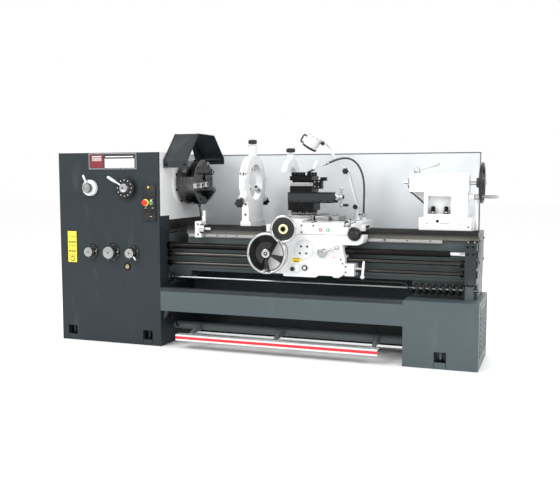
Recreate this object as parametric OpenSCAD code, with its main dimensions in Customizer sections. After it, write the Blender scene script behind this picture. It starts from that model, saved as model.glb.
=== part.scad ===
// Gap-bed centre lathe on a two-pedestal stand, seen from the operator's side.
// X runs from the headstock to the tailstock, Y to the back, Z up from the floor.
// Places are counted from the stand's front left corner; at() moves them to the origin,
// which is the floor under the middle of the machine.

/* [Stand] */
// Length of the stand from end to end
stand_length = 2900; // [2500:10:3500]
// Height of the pedestals that carry the bed
pedestal_height = 408; // [340:1:490]
// Length of the headstock end
head_length = 791; // [700:1:950]
// Depth of the headstock end
head_depth = 673; // [640:1:700]
// Length of the right pedestal
tail_pedestal_length = 452; // [400:1:540]
// Depth of the right pedestal
tail_pedestal_depth = 530; // [525:1:600]
// Wall of the pedestals
pedestal_wall = 12; // [8:1:16]
// Height of the floor under the tray's front panel
toe_space = 248; // [220:1:290]
// Sheet thickness of the covers and the tray
sheet = 3; // [2:0.5:4]

/* [Bed] */
// Width over the bed's rails
bed_width = 350; // [345:1:370]
// Front of the bed behind the stand's front
bed_front = 180; // [178:1:185]
// Height of the bed's ways over the floor
way_height = 812; // [780:1:900]
// Height of a rail
rail_height = 47; // [40:1:55]
// Length of the gap beside the headstock
gap_length = 114; // [100:1:160]
// Height of the spindle over the ways
centre_height = 306; // [300:1:330]

/* [Headstock] */
// Height of the headstock's top over the floor
head_top = 1320; // [1310:1:1500]
// Wall of the headstock casting
head_wall = 20; // [14:1:26]
// Thickness of the front cover plate
cover_plate = 15; // [10:1:20]
// Depth of the gearbox part of the front cover
gearbox_depth = 142; // [138:1:145]
// Radius of the spindle's through bore
spindle_bore_r = 40; // [30:1:42]
// Radius of the chuck body
chuck_r = 157; // [135:1:165]
// Width of a chuck jaw
jaw_width = 34; // [28:1:40]

/* [Rods] */
// Radius of the leadscrew
leadscrew_r = 22; // [18:1:24]
// Radius of the feed rod
feed_rod_r = 14; // [12:1:16]
// Radius of the spindle control rod
control_rod_r = 12; // [10:1:14]
// Distance of the rods behind the stand's front
rod_y = 125; // [120:1:130]

/* [Carriage] */
// Left end of the saddle
saddle_left = 1535; // [1500:1:1560]
// Right end of the saddle
saddle_right = 2190; // [2150:1:2230]
// Radius of the apron handwheel
apron_wheel_r = 125; // [100:1:126]
// Radius of the cross slide handwheel
cross_wheel_r = 80; // [65:1:84]
// Side of the square tool post
post_side = 152; // [130:1:156]

/* [Tailstock] */
// Left end of the tailstock barrel
barrel_left = 2421; // [2400:1:2440]
// Length of the tailstock barrel
barrel_length = 370; // [340:1:385]
// Radius of the quill
quill_r = 37; // [30:1:40]
// Radius of the tailstock handwheel
tail_wheel_r = 120; // [90:1:125]

/* [Hidden] */
$fn = 64;

fit = 0.3;             // gap between curved or sliding faces of different bodies
run = 0.05;            // radial clearance of a running fit
casting = "gainsboro";
slate = "dimgray";
dark_slate = "darkslategray";
steel = "silver";
black = "#222222";

axis_y = bed_front + bed_width / 2;
axis_z = way_height + centre_height;
bed_rear = bed_front + bed_width;
bed_left = head_length + gap_length;
bed_right = stand_length - 32;
tail_left = stand_length - tail_pedestal_length;
leadscrew_z = way_height - 126;
feed_rod_z = leadscrew_z - 57;
control_rod_z = feed_rod_z - 63;
bar_y = rod_y + 15;
bar_z = control_rod_z - 100;
bar_r = 10;
web_front = bed_front + 20;
web = 22;
rail_width = 82;
vee_y = bed_front + 20;
vee_half = 14;
vee_rise = 13;
seat_top = 862;
splash_y = 720;
splash_right = stand_length - 78;
wheel_x = saddle_left + 38;
wheel_z = leadscrew_z - 18;
apron_front = 62;
apron_back = 172;
apron_top = way_height - 22;
apron_bottom = 515;
saddle_top = way_height + 51;
saddle_back = bed_rear + 40;
screw_x = saddle_left + 165;
screw_z = saddle_top - 35;
slide_x = saddle_left + 179;
slide_half = 90;
slide_front = 245;
slide_top = saddle_top + 40;
compound_y = 316;
swivel_top = slide_top + 34;
base_top = swivel_top + 46;
top_slide_top = base_top + 70;
post_top = top_slide_top + 107;
steady_x = 1327;
steady_half = 25;
ring_in = 121;
ring_out = 183;
barrel_half = 55;
barrel_right = barrel_left + barrel_length;
tail_wheel_x = barrel_right + 75;
tail_grip_end = tail_wheel_x + 104;
follow_x = slide_x - 110;
brake_y = 190;
brake_z = 122;
guard_left = head_length + 4;
guard_right = head_length + 189;
grip_front = -135;     // the cross slide grip, the foremost point of the machine
back_edge = splash_y + 15;
mid_x = tail_grip_end / 2;
mid_y = (back_edge + grip_front) / 2;

// Stations and simple solids -------------------------------------------------

module at(x, y, z) translate([x - mid_x, y - mid_y, z]) children();

// Box between two corners
module block(low, high) at(low[0], low[1], low[2]) cube(high - low);

// Round bar along X from x0 to x1
module bar_x(x0, x1, y, z, r, r2 = undef)
  at(x0, y, z) rotate([0, 90, 0]) cylinder(r1 = r, r2 = is_undef(r2) ? r : r2, h = x1 - x0);

// Round bar along Y from y0 to y1
module bar_y(y0, y1, x, z, r, r2 = undef)
  at(x, y0, z) rotate([-90, 0, 0]) cylinder(r1 = r, r2 = is_undef(r2) ? r : r2, h = y1 - y0);

// Round bar along Z from z0 to z1
module bar_z(z0, z1, x, y, r, r2 = undef)
  at(x, y, z0) cylinder(r1 = r, r2 = is_undef(r2) ? r : r2, h = z1 - z0);

// Round bar from point p to point q
module strut(p, q, r, r2 = undef) {
  d = q - p;
  length = norm(d);
  at(p[0], p[1], p[2]) rotate([0, acos(d[2] / length), atan2(d[1], d[0])])
    cylinder(r1 = r, r2 = is_undef(r2) ? r : r2, h = length);
}

module ball(p, r) at(p[0], p[1], p[2]) sphere(r = r);

// Outline in the X-Z plane, given from the front, and extruded from y0 to y1
module slab_y(y0, y1, points)
  at(0, y1, 0) rotate([90, 0, 0]) linear_extrude(y1 - y0) polygon(points);

// Outline in the Y-Z plane extruded along X from x0 to x1
module slab_x(x0, x1, points)
  at(x0, 0, 0) rotate([90, 0, 90]) linear_extrude(x1 - x0) polygon(points);

// Box with the same wall all round, and an open side where the wall is 0
module shell_box(low, high, wall_low, wall_high) difference() {
  block(low, high);
  block(low + wall_low, high - wall_high);
}

// Handwheel: rim, web or spokes and hub about the Z axis, rim at z = 0
module wheel(r, rim_r, hub_r, hub_front, hub_back, bore, spokes) difference() {
  union() {
    rotate_extrude() translate([r - rim_r, 0]) circle(r = rim_r);
    translate([0, 0, -hub_back]) cylinder(r = hub_r, h = hub_front + hub_back);
    for (i = [0:spokes - 1]) rotate(90 + 360 * i / spokes)
      translate([hub_r - 4, -hub_r * 0.45, -4]) cube([r - rim_r - hub_r + 4, hub_r * 0.9, 9]);
  }
  translate([0, 0, -hub_back - 1]) cylinder(r = bore, h = hub_back + hub_front - 5);
}

// Small machine handle along Z: a waisted grip with a rounded end
module grip(r, length) rotate_extrude() polygon([
  [0, 0], [r * 0.6, 0], [r * 0.75, length * 0.25], [r, length * 0.7], [r * 0.85, length * 0.92],
  [r * 0.4, length], [0, length]]);

// Stand ------------------------------------------------------------------------

pocket_width = 74;
pocket_height = 64;

// Levelling screw standing in a pocket
module levelling_screw(x, y) {
  bar_z(0, 8, x, y, 22);
  bar_z(8, 43 + pocket_height, x, y, 9);
  at(x, y, 30) cylinder(r = 15, h = 14, $fn = 6);
}

// Pocket for a levelling screw, cut from the front face
module pocket(x) block([x - pocket_width / 2, -1, -1], [x + pocket_width / 2, 60, 40 + pocket_height]);

// Housing round a pocket, inside the pedestal
module pocket_lining(x) difference() {
  block([x - pocket_width / 2 - 6, 1, 0], [x + pocket_width / 2 + 6, 66, 46 + pocket_height]);
  pocket(x);
}

module left_pedestal() color(dark_slate) {
  pockets = [84, head_length - 102];
  difference() {
    union() {
      difference() {
        block([0, 0, 0], [head_length, head_depth, pedestal_height]);
        block([pedestal_wall, pedestal_wall, pedestal_wall],
          [head_length - pedestal_wall, head_depth - pedestal_wall, pedestal_height - pedestal_wall]);
      }
      for (x = pockets) pocket_lining(x);
    }
    for (x = pockets) pocket(x);
    block([pedestal_wall + 4, axis_y - 170, pedestal_height - 20], [88, axis_y + 170, pedestal_height + 1]);
  }
  for (x = pockets) levelling_screw(x, 30);
}

module right_pedestal() color(slate) {
  pocket_x = tail_left + 228;
  vent_step = 34;
  difference() {
    union() {
      difference() {
        block([tail_left, 0, 0], [stand_length, tail_pedestal_depth, pedestal_height]);
        block([tail_left + pedestal_wall, pedestal_wall, pedestal_wall],
          [stand_length - pedestal_wall, tail_pedestal_depth - pedestal_wall,
            pedestal_height - pedestal_wall]);
      }
      pocket_lining(pocket_x);
    }
    pocket(pocket_x);
    for (i = [0:7])
      block([stand_length - pedestal_wall - 1, 90, 90 + i * vent_step],
        [stand_length + 1, tail_pedestal_depth - 90, 104 + i * vent_step]);
  }
  for (i = [0:7])
    slab_y(88, tail_pedestal_depth - 88, [
      [stand_length - pedestal_wall, 110 + i * vent_step], [stand_length - pedestal_wall, 104 + i * vent_step],
      [stand_length + 7, 94 + i * vent_step], [stand_length + 7, 97 + i * vent_step]]);
  levelling_screw(pocket_x, 30);
}

// The stand's front panel, the pan behind it and the sloping back plate
module chip_tray() color(slate) {
  pan_z = toe_space + 16;
  back_top = 786;
  x0 = head_length;
  union() {
    block([x0, 0, toe_space], [tail_left, 12, pedestal_height - 3]);
    block([x0, 0, pedestal_height - 15], [tail_left, 40, pedestal_height - 3]);
    block([x0, 0, toe_space], [tail_left, 60, toe_space + 6]);
    slab_x(x0, tail_left, [
      [10, pan_z + 60], [60, pan_z], [tail_pedestal_depth - 60, pan_z], [tail_pedestal_depth + 15, pedestal_height],
      [tail_pedestal_depth + 11, pedestal_height], [tail_pedestal_depth - 63, pan_z + 4], [62, pan_z + 4],
      [12, pan_z + 64]]);
  }
  slab_x(x0, splash_right, [
    [tail_pedestal_depth + 11, pedestal_height], [tail_pedestal_depth + 15, pedestal_height],
    [splash_y + 4, back_top], [splash_y, back_top]]);
}

module splash_guard() color(casting) difference() {
  union() {
    block([head_length, splash_y, 786], [splash_right, splash_y + sheet, head_top]);
    block([head_length, splash_y, head_top - sheet], [splash_right, back_edge, head_top]);
    block([splash_right - sheet, splash_y, 786], [splash_right, back_edge, head_top]);
    block([head_length, head_depth - 1, seat_top + 40], [head_length + sheet, back_edge, head_top]);
  }
  block([head_length - 1, head_depth - 2, seat_top], [head_length + sheet + 1, head_depth, head_top + 1]);
}

// Bed ----------------------------------------------------------------------------

module bed() color(slate) {
  seat_x0 = 100;
  seat_x1 = head_length - 6;
  foot_x0 = tail_left + 20;
  bottom = pedestal_height + 100;
  rear_web = bed_rear - 20 - web;
  union() {
    // seat under the headstock
    difference() {
      block([seat_x0, gearbox_depth + 8, pedestal_height], [seat_x1, head_depth - 13, seat_top]);
      block([seat_x0 + web, gearbox_depth + 8 + web, pedestal_height - 1],
        [seat_x1 - web, head_depth - 13 - web, seat_top - web]);
    }
    // floor of the gap
    block([seat_x1 - 1, web_front, pedestal_height + 60], [bed_left + 1, bed_rear - 20, way_height - 160]);
    // webs and their feet on the right pedestal
    for (y = [web_front, rear_web]) {
      block([bed_left, y, bottom], [bed_right, y + web, way_height - rail_height + 1]);
      block([foot_x0, y, pedestal_height], [bed_right, y + web, bottom + 1]);
    }
    // rails
    block([bed_left, bed_front, way_height - rail_height], [bed_right, bed_front + rail_width, way_height]);
    block([bed_left, bed_rear - rail_width, way_height - rail_height], [bed_right, bed_rear, way_height]);
    slab_x(bed_left, bed_right, [
      [vee_y - vee_half, way_height - 1], [vee_y + vee_half, way_height - 1], [vee_y, way_height + vee_rise]]);
    // end plates and cross ribs
    block([bed_left, web_front, bottom - 40], [bed_left + web, bed_rear - 20, way_height - 1]);
    block([bed_right - web, web_front, pedestal_height], [bed_right, bed_rear - 20, way_height - 1]);
    block([foot_x0, web_front, pedestal_height], [foot_x0 + web, bed_rear - 20, bottom + 20]);
    for (x = [bed_left + 260:260:bed_right - 120])
      block([x, web_front + web - 1, bottom + 60], [x + 18, rear_web + 1, way_height - 80]);
    // lip along the foot of the front web
    block([bed_left, web_front - 10, bottom], [bed_right - 74, web_front + 1, bottom + 18]);
  }
}

// Toothed rack screwed under the front rail, teeth down
module rack() color("whitesmoke") {
  pitch = PI * 4;
  x0 = bed_left + 12;
  teeth = floor((bed_right - 210 - x0) / pitch);
  top = way_height - rail_height - 0.1;
  root = top - 16;
  difference() {
    slab_y(bed_front + 4, web_front, concat(
      [[x0, top], [x0, root]],
      [for (i = [0:teeth - 1]) each [
        [x0 + (i + 0.15) * pitch, root], [x0 + (i + 0.34) * pitch, root - 7.5],
        [x0 + (i + 0.66) * pitch, root - 7.5], [x0 + (i + 0.85) * pitch, root]]],
      [[x0 + teeth * pitch, root], [x0 + teeth * pitch, top]]));
    for (x = [x0 + 60:220:x0 + teeth * pitch - 20]) bar_y(bed_front + 3, bed_front + 12, x, top - 8, 6);
  }
}

module rod_bracket() color(slate) {
  x0 = bed_right - 68;
  difference() {
    block([x0, rod_y - 30, bar_z + 39], [bed_right, web_front - 0.1, way_height - rail_height - 8]);
    bar_x(x0 - 1, bed_right + 1, rod_y, leadscrew_z, 15 + run);
    bar_x(x0 - 1, bed_right + 1, rod_y, feed_rod_z, feed_rod_r + run);
    bar_x(x0 - 1, bed_right + 1, rod_y, control_rod_z, control_rod_r + run);
    for (dx = [16, 48], dz = [-66, -22]) bar_y(rod_y - 31, rod_y - 22, x0 + dx, way_height - 55 + dz, 6);
  }
}

// Guide bar for the coiled cable, with its flange on the cover and its block on the pedestal
module cable_bar() color(steel) {
  block_x = bed_right - 66;
  bar_x(head_length, stand_length - 15, bar_y, bar_z, bar_r);
  difference() {
    bar_x(head_length, head_length + 14, bar_y, bar_z, 36);
    bar_x(head_length - 1, head_length + 15, bar_y, bar_z, bar_r);
  }
  difference() {
    block([block_x, bar_y - 24, pedestal_height], [block_x + 46, bar_y + 24, bar_z + 26]);
    bar_x(block_x - 1, block_x + 47, bar_y, bar_z, bar_r);
  }
}

// Headstock ---------------------------------------------------------------------

bearing_front_r = 115;
bearing_rear_r = 90;
front_journal_r = 75;
rear_journal_r = 60;

module headstock_casting() color(casting) {
  x0 = 95;
  step_z = seat_top + 29;
  step_y = gearbox_depth + 5;
  difference() {
    union() {
      block([x0, cover_plate, seat_top], [head_length, head_depth, head_top]);
      block([2, cover_plate, step_z], [x0 + 1, step_y, head_top]);
      bar_x(head_length - 1, head_length + 12, axis_y, axis_z, 162);
    }
    difference() {
      block([x0 + head_wall, cover_plate + head_wall, seat_top + head_wall],
        [head_length - head_wall, head_depth - head_wall, head_top - head_wall]);
      bar_x(head_length - 90, head_length, axis_y, axis_z, bearing_front_r + 25);
      bar_x(x0, x0 + 70, axis_y, axis_z, bearing_rear_r + 25);
    }
    block([x0 - 100, cover_plate - 1, seat_top - 1], [head_length + 1, step_y, step_z]);
    bar_x(head_length - 60, head_length + 13, axis_y, axis_z, bearing_front_r);
    bar_x(head_length - 91, head_length - 59, axis_y, axis_z, front_journal_r + 6);
    bar_x(x0 - 1, x0 + 45, axis_y, axis_z, bearing_rear_r);
    bar_x(x0 + 44, x0 + 71, axis_y, axis_z, rear_journal_r + 6);
  }
}

module spindle_bearings() color(steel) {
  difference() {
    bar_x(head_length - 60, head_length - 10, axis_y, axis_z, bearing_front_r - run);
    bar_x(head_length - 61, head_length - 9, axis_y, axis_z, front_journal_r + run);
  }
  difference() {
    bar_x(96, 138, axis_y, axis_z, bearing_rear_r - run);
    bar_x(95, 139, axis_y, axis_z, rear_journal_r + run);
  }
}

dial_x = 547;
lever_x = 257;
upper_z = 1079;
lower_z = 636;
knob_x = [256, 416, 580];
shaft_r = 9;

// Grey plate over the headstock's front, deepened below into the gearbox housing
module front_cover() color(dark_slate) difference() {
  union() {
    block([0, 0, pedestal_height], [head_length, cover_plate, head_top]);
    shell_box([0, cover_plate - 1, pedestal_height], [head_length, gearbox_depth, seat_top + 29],
      [10, 0, 10], [10, 10, 10]);
  }
  for (x = [lever_x, dial_x]) bar_y(-1, cover_plate + 1, x, upper_z, shaft_r + run);
  for (x = knob_x) bar_y(-1, cover_plate + 1, x, lower_z, shaft_r + run);
  bar_x(head_length - 11, head_length + 1, rod_y, leadscrew_z, 15 + run);
  bar_x(head_length - 11, head_length + 1, rod_y, feed_rod_z, feed_rod_r + run);
  bar_x(head_length - 11, head_length + 1, rod_y, control_rod_z, control_rod_r + run);
}

panel_x = 666;
panel_z = 856;
stop_x = panel_x + 27;
start_x = panel_x + 68;
button_z = panel_z + 125;

module control_panel() color(black) {
  difference() {
    block([panel_x, -8, panel_z], [panel_x + 102, 0, panel_z + 243]);
    bar_y(-9, 1, stop_x, button_z, 8 + run);
    bar_y(-9, 1, start_x, button_z, 7 + run);
  }
  bar_y(-16, -8, panel_x + 51, panel_z + 228, 9);
  for (dx = [27, 79]) bar_y(-16, -8, panel_x + dx, panel_z + 73, 8);
  bar_y(-18, -8, panel_x + 66, panel_z + 50, 9);
}

module stop_button() color("red") {
  bar_y(-22, -4, stop_x, button_z, 8);
  bar_y(-34, -22, stop_x, button_z, 20);
}

module start_button() color("green") {
  bar_y(-14, -4, start_x, button_z, 7);
  bar_y(-20, -14, start_x, button_z, 11);
}

module direction_lever() color("white") {
  bar_y(-1, cover_plate - 0.2, lever_x, upper_z, shaft_r);
  bar_y(-24, -0.4, lever_x, upper_z, 54, 56);
  bar_y(-58, -24, lever_x, upper_z, 34);
  strut([lever_x - 8, -46, upper_z + 24], [lever_x - 26, -52, upper_z + 88], 6, 9);
}

module speed_dial() color(black) {
  bar_y(-1, cover_plate - 0.2, dial_x, upper_z, shaft_r);
  bar_y(-18, -0.4, dial_x, upper_z, 62);
  bar_y(-34, -18, dial_x, upper_z, 70);
  bar_y(-56, -34, dial_x, upper_z, 32);
  strut([dial_x - 20, -46, upper_z + 12], [dial_x - 118, -56, upper_z + 76], 6, 11);
}

// Star knob number i, with its flange and short pointer lever
module gear_knob(i) {
  flange = [50, 63, 50];
  face = [34, 44, 34];
  x = knob_x[i];
  bar_y(-1, cover_plate - 0.2, x, lower_z, shaft_r);
  bar_y(-12, -0.4, x, lower_z, flange[i]);
  bar_y(-26, -12, x, lower_z, face[i] * 0.8);
  bar_y(-50, -26, x, lower_z, face[i]);
  if (i == 2) strut([x + 24, -38, lower_z - 20], [x + 54, -44, lower_z - 46], 5, 8);
}

module gear_knob_1() color(steel) gear_knob(0);
module gear_knob_2() color(steel) gear_knob(1);
module gear_knob_3() color(steel) gear_knob(2);

// Drive: motor in the left pedestal, belts behind the end cover
motor_z = 205;
motor_pulley_r = 62;
spindle_pulley_r = 118;
pulley_x0 = 30;
belt_count = 3;
belt_width = 13;
belt_step = 17;
belt_depth = 9;

module main_motor() color(slate) {
  difference() {
    bar_x(140, 560, axis_y, motor_z, 118);
    bar_x(139, 200, axis_y, motor_z, 23 + run);
  }
  bar_x(560, 600, axis_y, motor_z, 100);
  for (a = [0:15:345]) at(150, axis_y, motor_z) rotate([a, 0, 0]) translate([0, 116, -2]) cube([380, 12, 4]);
  block([180, axis_y - 110, pedestal_wall], [520, axis_y + 110, motor_z - 95]);
  block([300, axis_y - 175, motor_z - 40], [440, axis_y - 112, motor_z + 60]);
}

// Grooved pulley between x0 and the last belt
module pulley(r, z, bore) difference() {
  bar_x(pulley_x0 - 3, pulley_x0 + belt_step * belt_count + 1, axis_y, z, r + belt_depth);
  for (i = [0:belt_count - 1]) difference() {
    bar_x(pulley_x0 + i * belt_step, pulley_x0 + i * belt_step + belt_width + 1, axis_y, z, r + belt_depth + 1);
    bar_x(pulley_x0 + i * belt_step - 1, pulley_x0 + i * belt_step + belt_width + 2, axis_y, z, r);
  }
  bar_x(pulley_x0 - 4, pulley_x0 + belt_step * belt_count + 2, axis_y, z, bore);
}

module motor_pulley() color(steel) {
  pulley(motor_pulley_r, motor_z, 23);
  bar_x(pulley_x0 - 8, 195, axis_y, motor_z, 23);
}

// Outline of a belt run over two pulleys, in the Y-Z plane
module belt_outline(r_low, r_high) {
  span = axis_z - motor_z;
  a = asin((r_high - r_low) / span);
  translate([axis_y, motor_z]) circle(r = r_low);
  translate([axis_y, axis_z]) circle(r = r_high);
  polygon([
    [axis_y - r_low * cos(a), motor_z - r_low * sin(a)], [axis_y + r_low * cos(a), motor_z - r_low * sin(a)],
    [axis_y + r_high * cos(a), axis_z - r_high * sin(a)], [axis_y - r_high * cos(a), axis_z - r_high * sin(a)]]);
}

module drive_belts() color(black) for (i = [0:belt_count - 1])
  at(pulley_x0 + i * belt_step + 0.5, 0, 0) rotate([90, 0, 90]) linear_extrude(belt_width) difference() {
    belt_outline(motor_pulley_r + belt_depth, spindle_pulley_r + belt_depth);
    belt_outline(motor_pulley_r + fit, spindle_pulley_r + fit);
  }

nose_end = head_length + 26;
chuck_back = nose_end + 24;
chuck_face = chuck_back + 110;

module spindle() color(steel) difference() {
  union() {
    bar_x(22, 96, axis_y, axis_z, 55);
    pulley(spindle_pulley_r, axis_z, 54);
    bar_x(96, 150, axis_y, axis_z, rear_journal_r);
    bar_x(150, head_length - 100, axis_y, axis_z, 65);
    bar_x(420, 470, axis_y, axis_z, 140);
    bar_x(head_length - 100, head_length - 2, axis_y, axis_z, front_journal_r);
    bar_x(head_length - 2, nose_end, axis_y, axis_z, 105);
  }
  bar_x(21, nose_end + 1, axis_y, axis_z, spindle_bore_r);
}

jaw_angles = [70, 190, 310];
slot_depth = 26;

// Sets its children on the chuck at angle a: X outwards from the axis, Z along the spindle
module on_chuck(a) at(chuck_face, axis_y, axis_z) rotate([a, 0, 0]) rotate([0, 90, 0]) rotate(90) children();

module chuck_body() color(black) difference() {
  union() {
    bar_x(nose_end, chuck_back, axis_y, axis_z, chuck_r - 14);
    bar_x(chuck_back, chuck_face, axis_y, axis_z, chuck_r);
  }
  bar_x(nose_end - 1, chuck_face + 1, axis_y, axis_z, spindle_bore_r + 4);
  for (a = jaw_angles) on_chuck(a) {
    translate([20, -jaw_width / 2 - fit, -slot_depth]) cube([chuck_r, jaw_width + 2 * fit, slot_depth + 1]);
    translate([20, -jaw_width / 2 - 6 - fit, -slot_depth])
      cube([chuck_r, jaw_width + 12 + 2 * fit, 10 + 2 * fit]);
  }
  for (a = jaw_angles) at(chuck_face - 60, axis_y, axis_z) rotate([a + 60, 0, 0])
    translate([0, chuck_r - 30, 0]) rotate([-90, 0, 0]) cylinder(r = 9, h = 40);
}

module chuck_jaw(a) on_chuck(a) {
  translate([62, -jaw_width / 2 - 6, -slot_depth + fit]) cube([86, jaw_width + 12, 10]);
  translate([62, -jaw_width / 2, -slot_depth + fit]) cube([86, jaw_width, slot_depth - fit + 18]);
  translate([62, -jaw_width / 2, 17]) cube([56, jaw_width, 26]);
  translate([62, -jaw_width / 2, 42]) cube([28, jaw_width, 26]);
}

module chuck_jaw_1() color(steel) chuck_jaw(jaw_angles[0]);
module chuck_jaw_2() color(steel) chuck_jaw(jaw_angles[1]);
module chuck_jaw_3() color(steel) chuck_jaw(jaw_angles[2]);

guard_pivot = [axis_y + 262, 1284];

// Folded hood over the chuck, on a hinge rod at the back
module chuck_guard() color(dark_slate) {
  half = 297;
  top_half = 126;
  outside = [
    [axis_y - half, 1216], [axis_y - half, 1268], [axis_y - top_half, 1450], [axis_y + top_half, 1450],
    [axis_y + half, 1292], [axis_y + half, 1248]];
  inside = [
    [axis_y + half - sheet, 1248], [axis_y + half - sheet, 1291], [axis_y + top_half - 1, 1450 - sheet],
    [axis_y - top_half + 1, 1450 - sheet], [axis_y - half + sheet, 1267], [axis_y - half + sheet, 1216]];
  slab_x(guard_left, guard_right, concat(outside, inside));
  difference() {
    slab_x(guard_left, guard_left + 5, [
      [axis_y + half - 1, 1249], [axis_y + half - 1, 1291], [axis_y + top_half, 1449], [axis_y + 70, 1449],
      [axis_y + 225, 1249]]);
    bar_x(guard_left - 1, guard_left + 6, guard_pivot[0], guard_pivot[1], 10);
  }
  bar_x(head_length + 0.4, guard_right - 20, guard_pivot[0], guard_pivot[1], 10);
}

// Door over the belts at the left end, hinged on its rear edge
module end_cover() color(dark_slate) {
  y0 = gearbox_depth + 8;
  y1 = head_depth - 6;
  z0 = pedestal_height + 2;
  z1 = head_top - 2;
  difference() {
    shell_box([0, y0, z0], [95 - fit, y1, z1], [sheet, sheet, sheet], [0, sheet, sheet]);
    block([sheet + 8, axis_y - 150, z0 - 1], [96, axis_y + 150, z0 + sheet + 1]);
  }
  for (z = [z0 + 120, z1 - 180]) bar_z(z, z + 60, 86, y1 + 4, 5);
}

// Rods ----------------------------------------------------------------------------

// Rod with journals in the cover and in the bracket
module rod_between(z, r, journal_r, thread_end) {
  bar_x(head_length - 9, head_length + 6, rod_y, z, journal_r);
  bar_x(head_length + 6, thread_end, rod_y, z, r);
  bar_x(thread_end, bed_right - 6, rod_y, z, journal_r);
}

module leadscrew() color(black) rod_between(leadscrew_z, leadscrew_r, 15, bed_right - 160);
module feed_rod() color("tan") rod_between(feed_rod_z, feed_rod_r, feed_rod_r, bed_right - 160);
module control_rod() color("tan") rod_between(control_rod_z, control_rod_r, control_rod_r, bed_right - 160);

lever_hub_x = saddle_left + 648;

// Handle on the right of the apron that turns the control rod
module spindle_lever() color(steel) {
  y = apron_front + 20;
  bar_x(saddle_left + 542, lever_hub_x + 30, y, control_rod_z + 14, 6);
  strut([lever_hub_x, y - 4, control_rod_z + 50], [lever_hub_x, y - 28, control_rod_z - 22], 6, 5);
  ball([lever_hub_x, y - 32, control_rod_z - 34], 13);
  bar_x(lever_hub_x - 14, lever_hub_x + 14, y, control_rod_z + 14, 12);
}

// Carriage --------------------------------------------------------------------------

module saddle() color(casting) {
  wing_r = slide_x + slide_half + 6;
  difference() {
    union() {
      // bridge over the bed and the front strip over the apron
      block([saddle_left + 70, apron_front, way_height + fit], [saddle_right - 60, saddle_back, saddle_top]);
      block([saddle_left + 70, apron_front, apron_top], [saddle_right - 60, bed_front - 4, saddle_top]);
      block([saddle_left, apron_front + 10, way_height - 12], [saddle_left + 71, bed_front + 80, saddle_top - 16]);
      block([saddle_left, bed_rear - 90, way_height + fit], [saddle_left + 71, saddle_back, saddle_top - 16]);
      block([saddle_right - 61, bed_front - 40, way_height + fit], [saddle_right - 20, bed_front + 100, saddle_top - 16]);
      // back strip and its keeper under the rear rail
      block([saddle_left + 70, bed_rear + 4, way_height - rail_height - 20],
        [saddle_right - 60, saddle_back, saddle_top]);
      block([saddle_left + 70, bed_rear - 14, way_height - rail_height - 20],
        [saddle_right - 60, bed_rear + 5, way_height - rail_height - fit]);
      // dovetail guide for the cross slide
      slab_y(apron_front + 60, saddle_back, [
        [slide_x - 46, saddle_top - 1], [slide_x + 46, saddle_top - 1], [slide_x + 58, saddle_top + 18],
        [slide_x - 58, saddle_top + 18]]);
      // screw bearing block in front
      block([screw_x - 60, 20, apron_top], [screw_x + 60, apron_front + 1, screw_z + 32]);
      // pad for the follow rest
      block([saddle_left + 32, axis_y + 60, way_height + fit], [saddle_left + 71, saddle_back, saddle_top]);
      // lamp post and coolant pad on the rear wing
      bar_z(saddle_top - 1, saddle_top + 20, lamp_x, lamp_y, 24);
      bar_z(saddle_top + 19, lamp_pivot_z - lamp_knuckle_r - fit, lamp_x, lamp_y, 13);
      bar_z(saddle_top - 1, saddle_top + 18, hose_x, hose_y, 22);
    }
    slab_x(saddle_left - 1, saddle_right + 1, [
      [vee_y - vee_half - 2, way_height], [vee_y + vee_half + 2, way_height], [vee_y + 1, way_height + vee_rise + 2],
      [vee_y - 1, way_height + vee_rise + 2]]);
    block([saddle_left - 1, bed_front - 5, way_height - 30], [saddle_left + 72, bed_front + 81, way_height + fit]);
    bar_y(19, 140, screw_x, screw_z, 13 + run);
    at(stick_x, apron_front - 1, stick_z) sphere(r = stick_socket_r);
    // opening in the middle that leaves the H shape of the casting
    block([wing_r + 60, bed_front + 120, way_height - 1], [saddle_right - 120, bed_rear - 60, saddle_top + 1]);
  }
}

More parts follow.
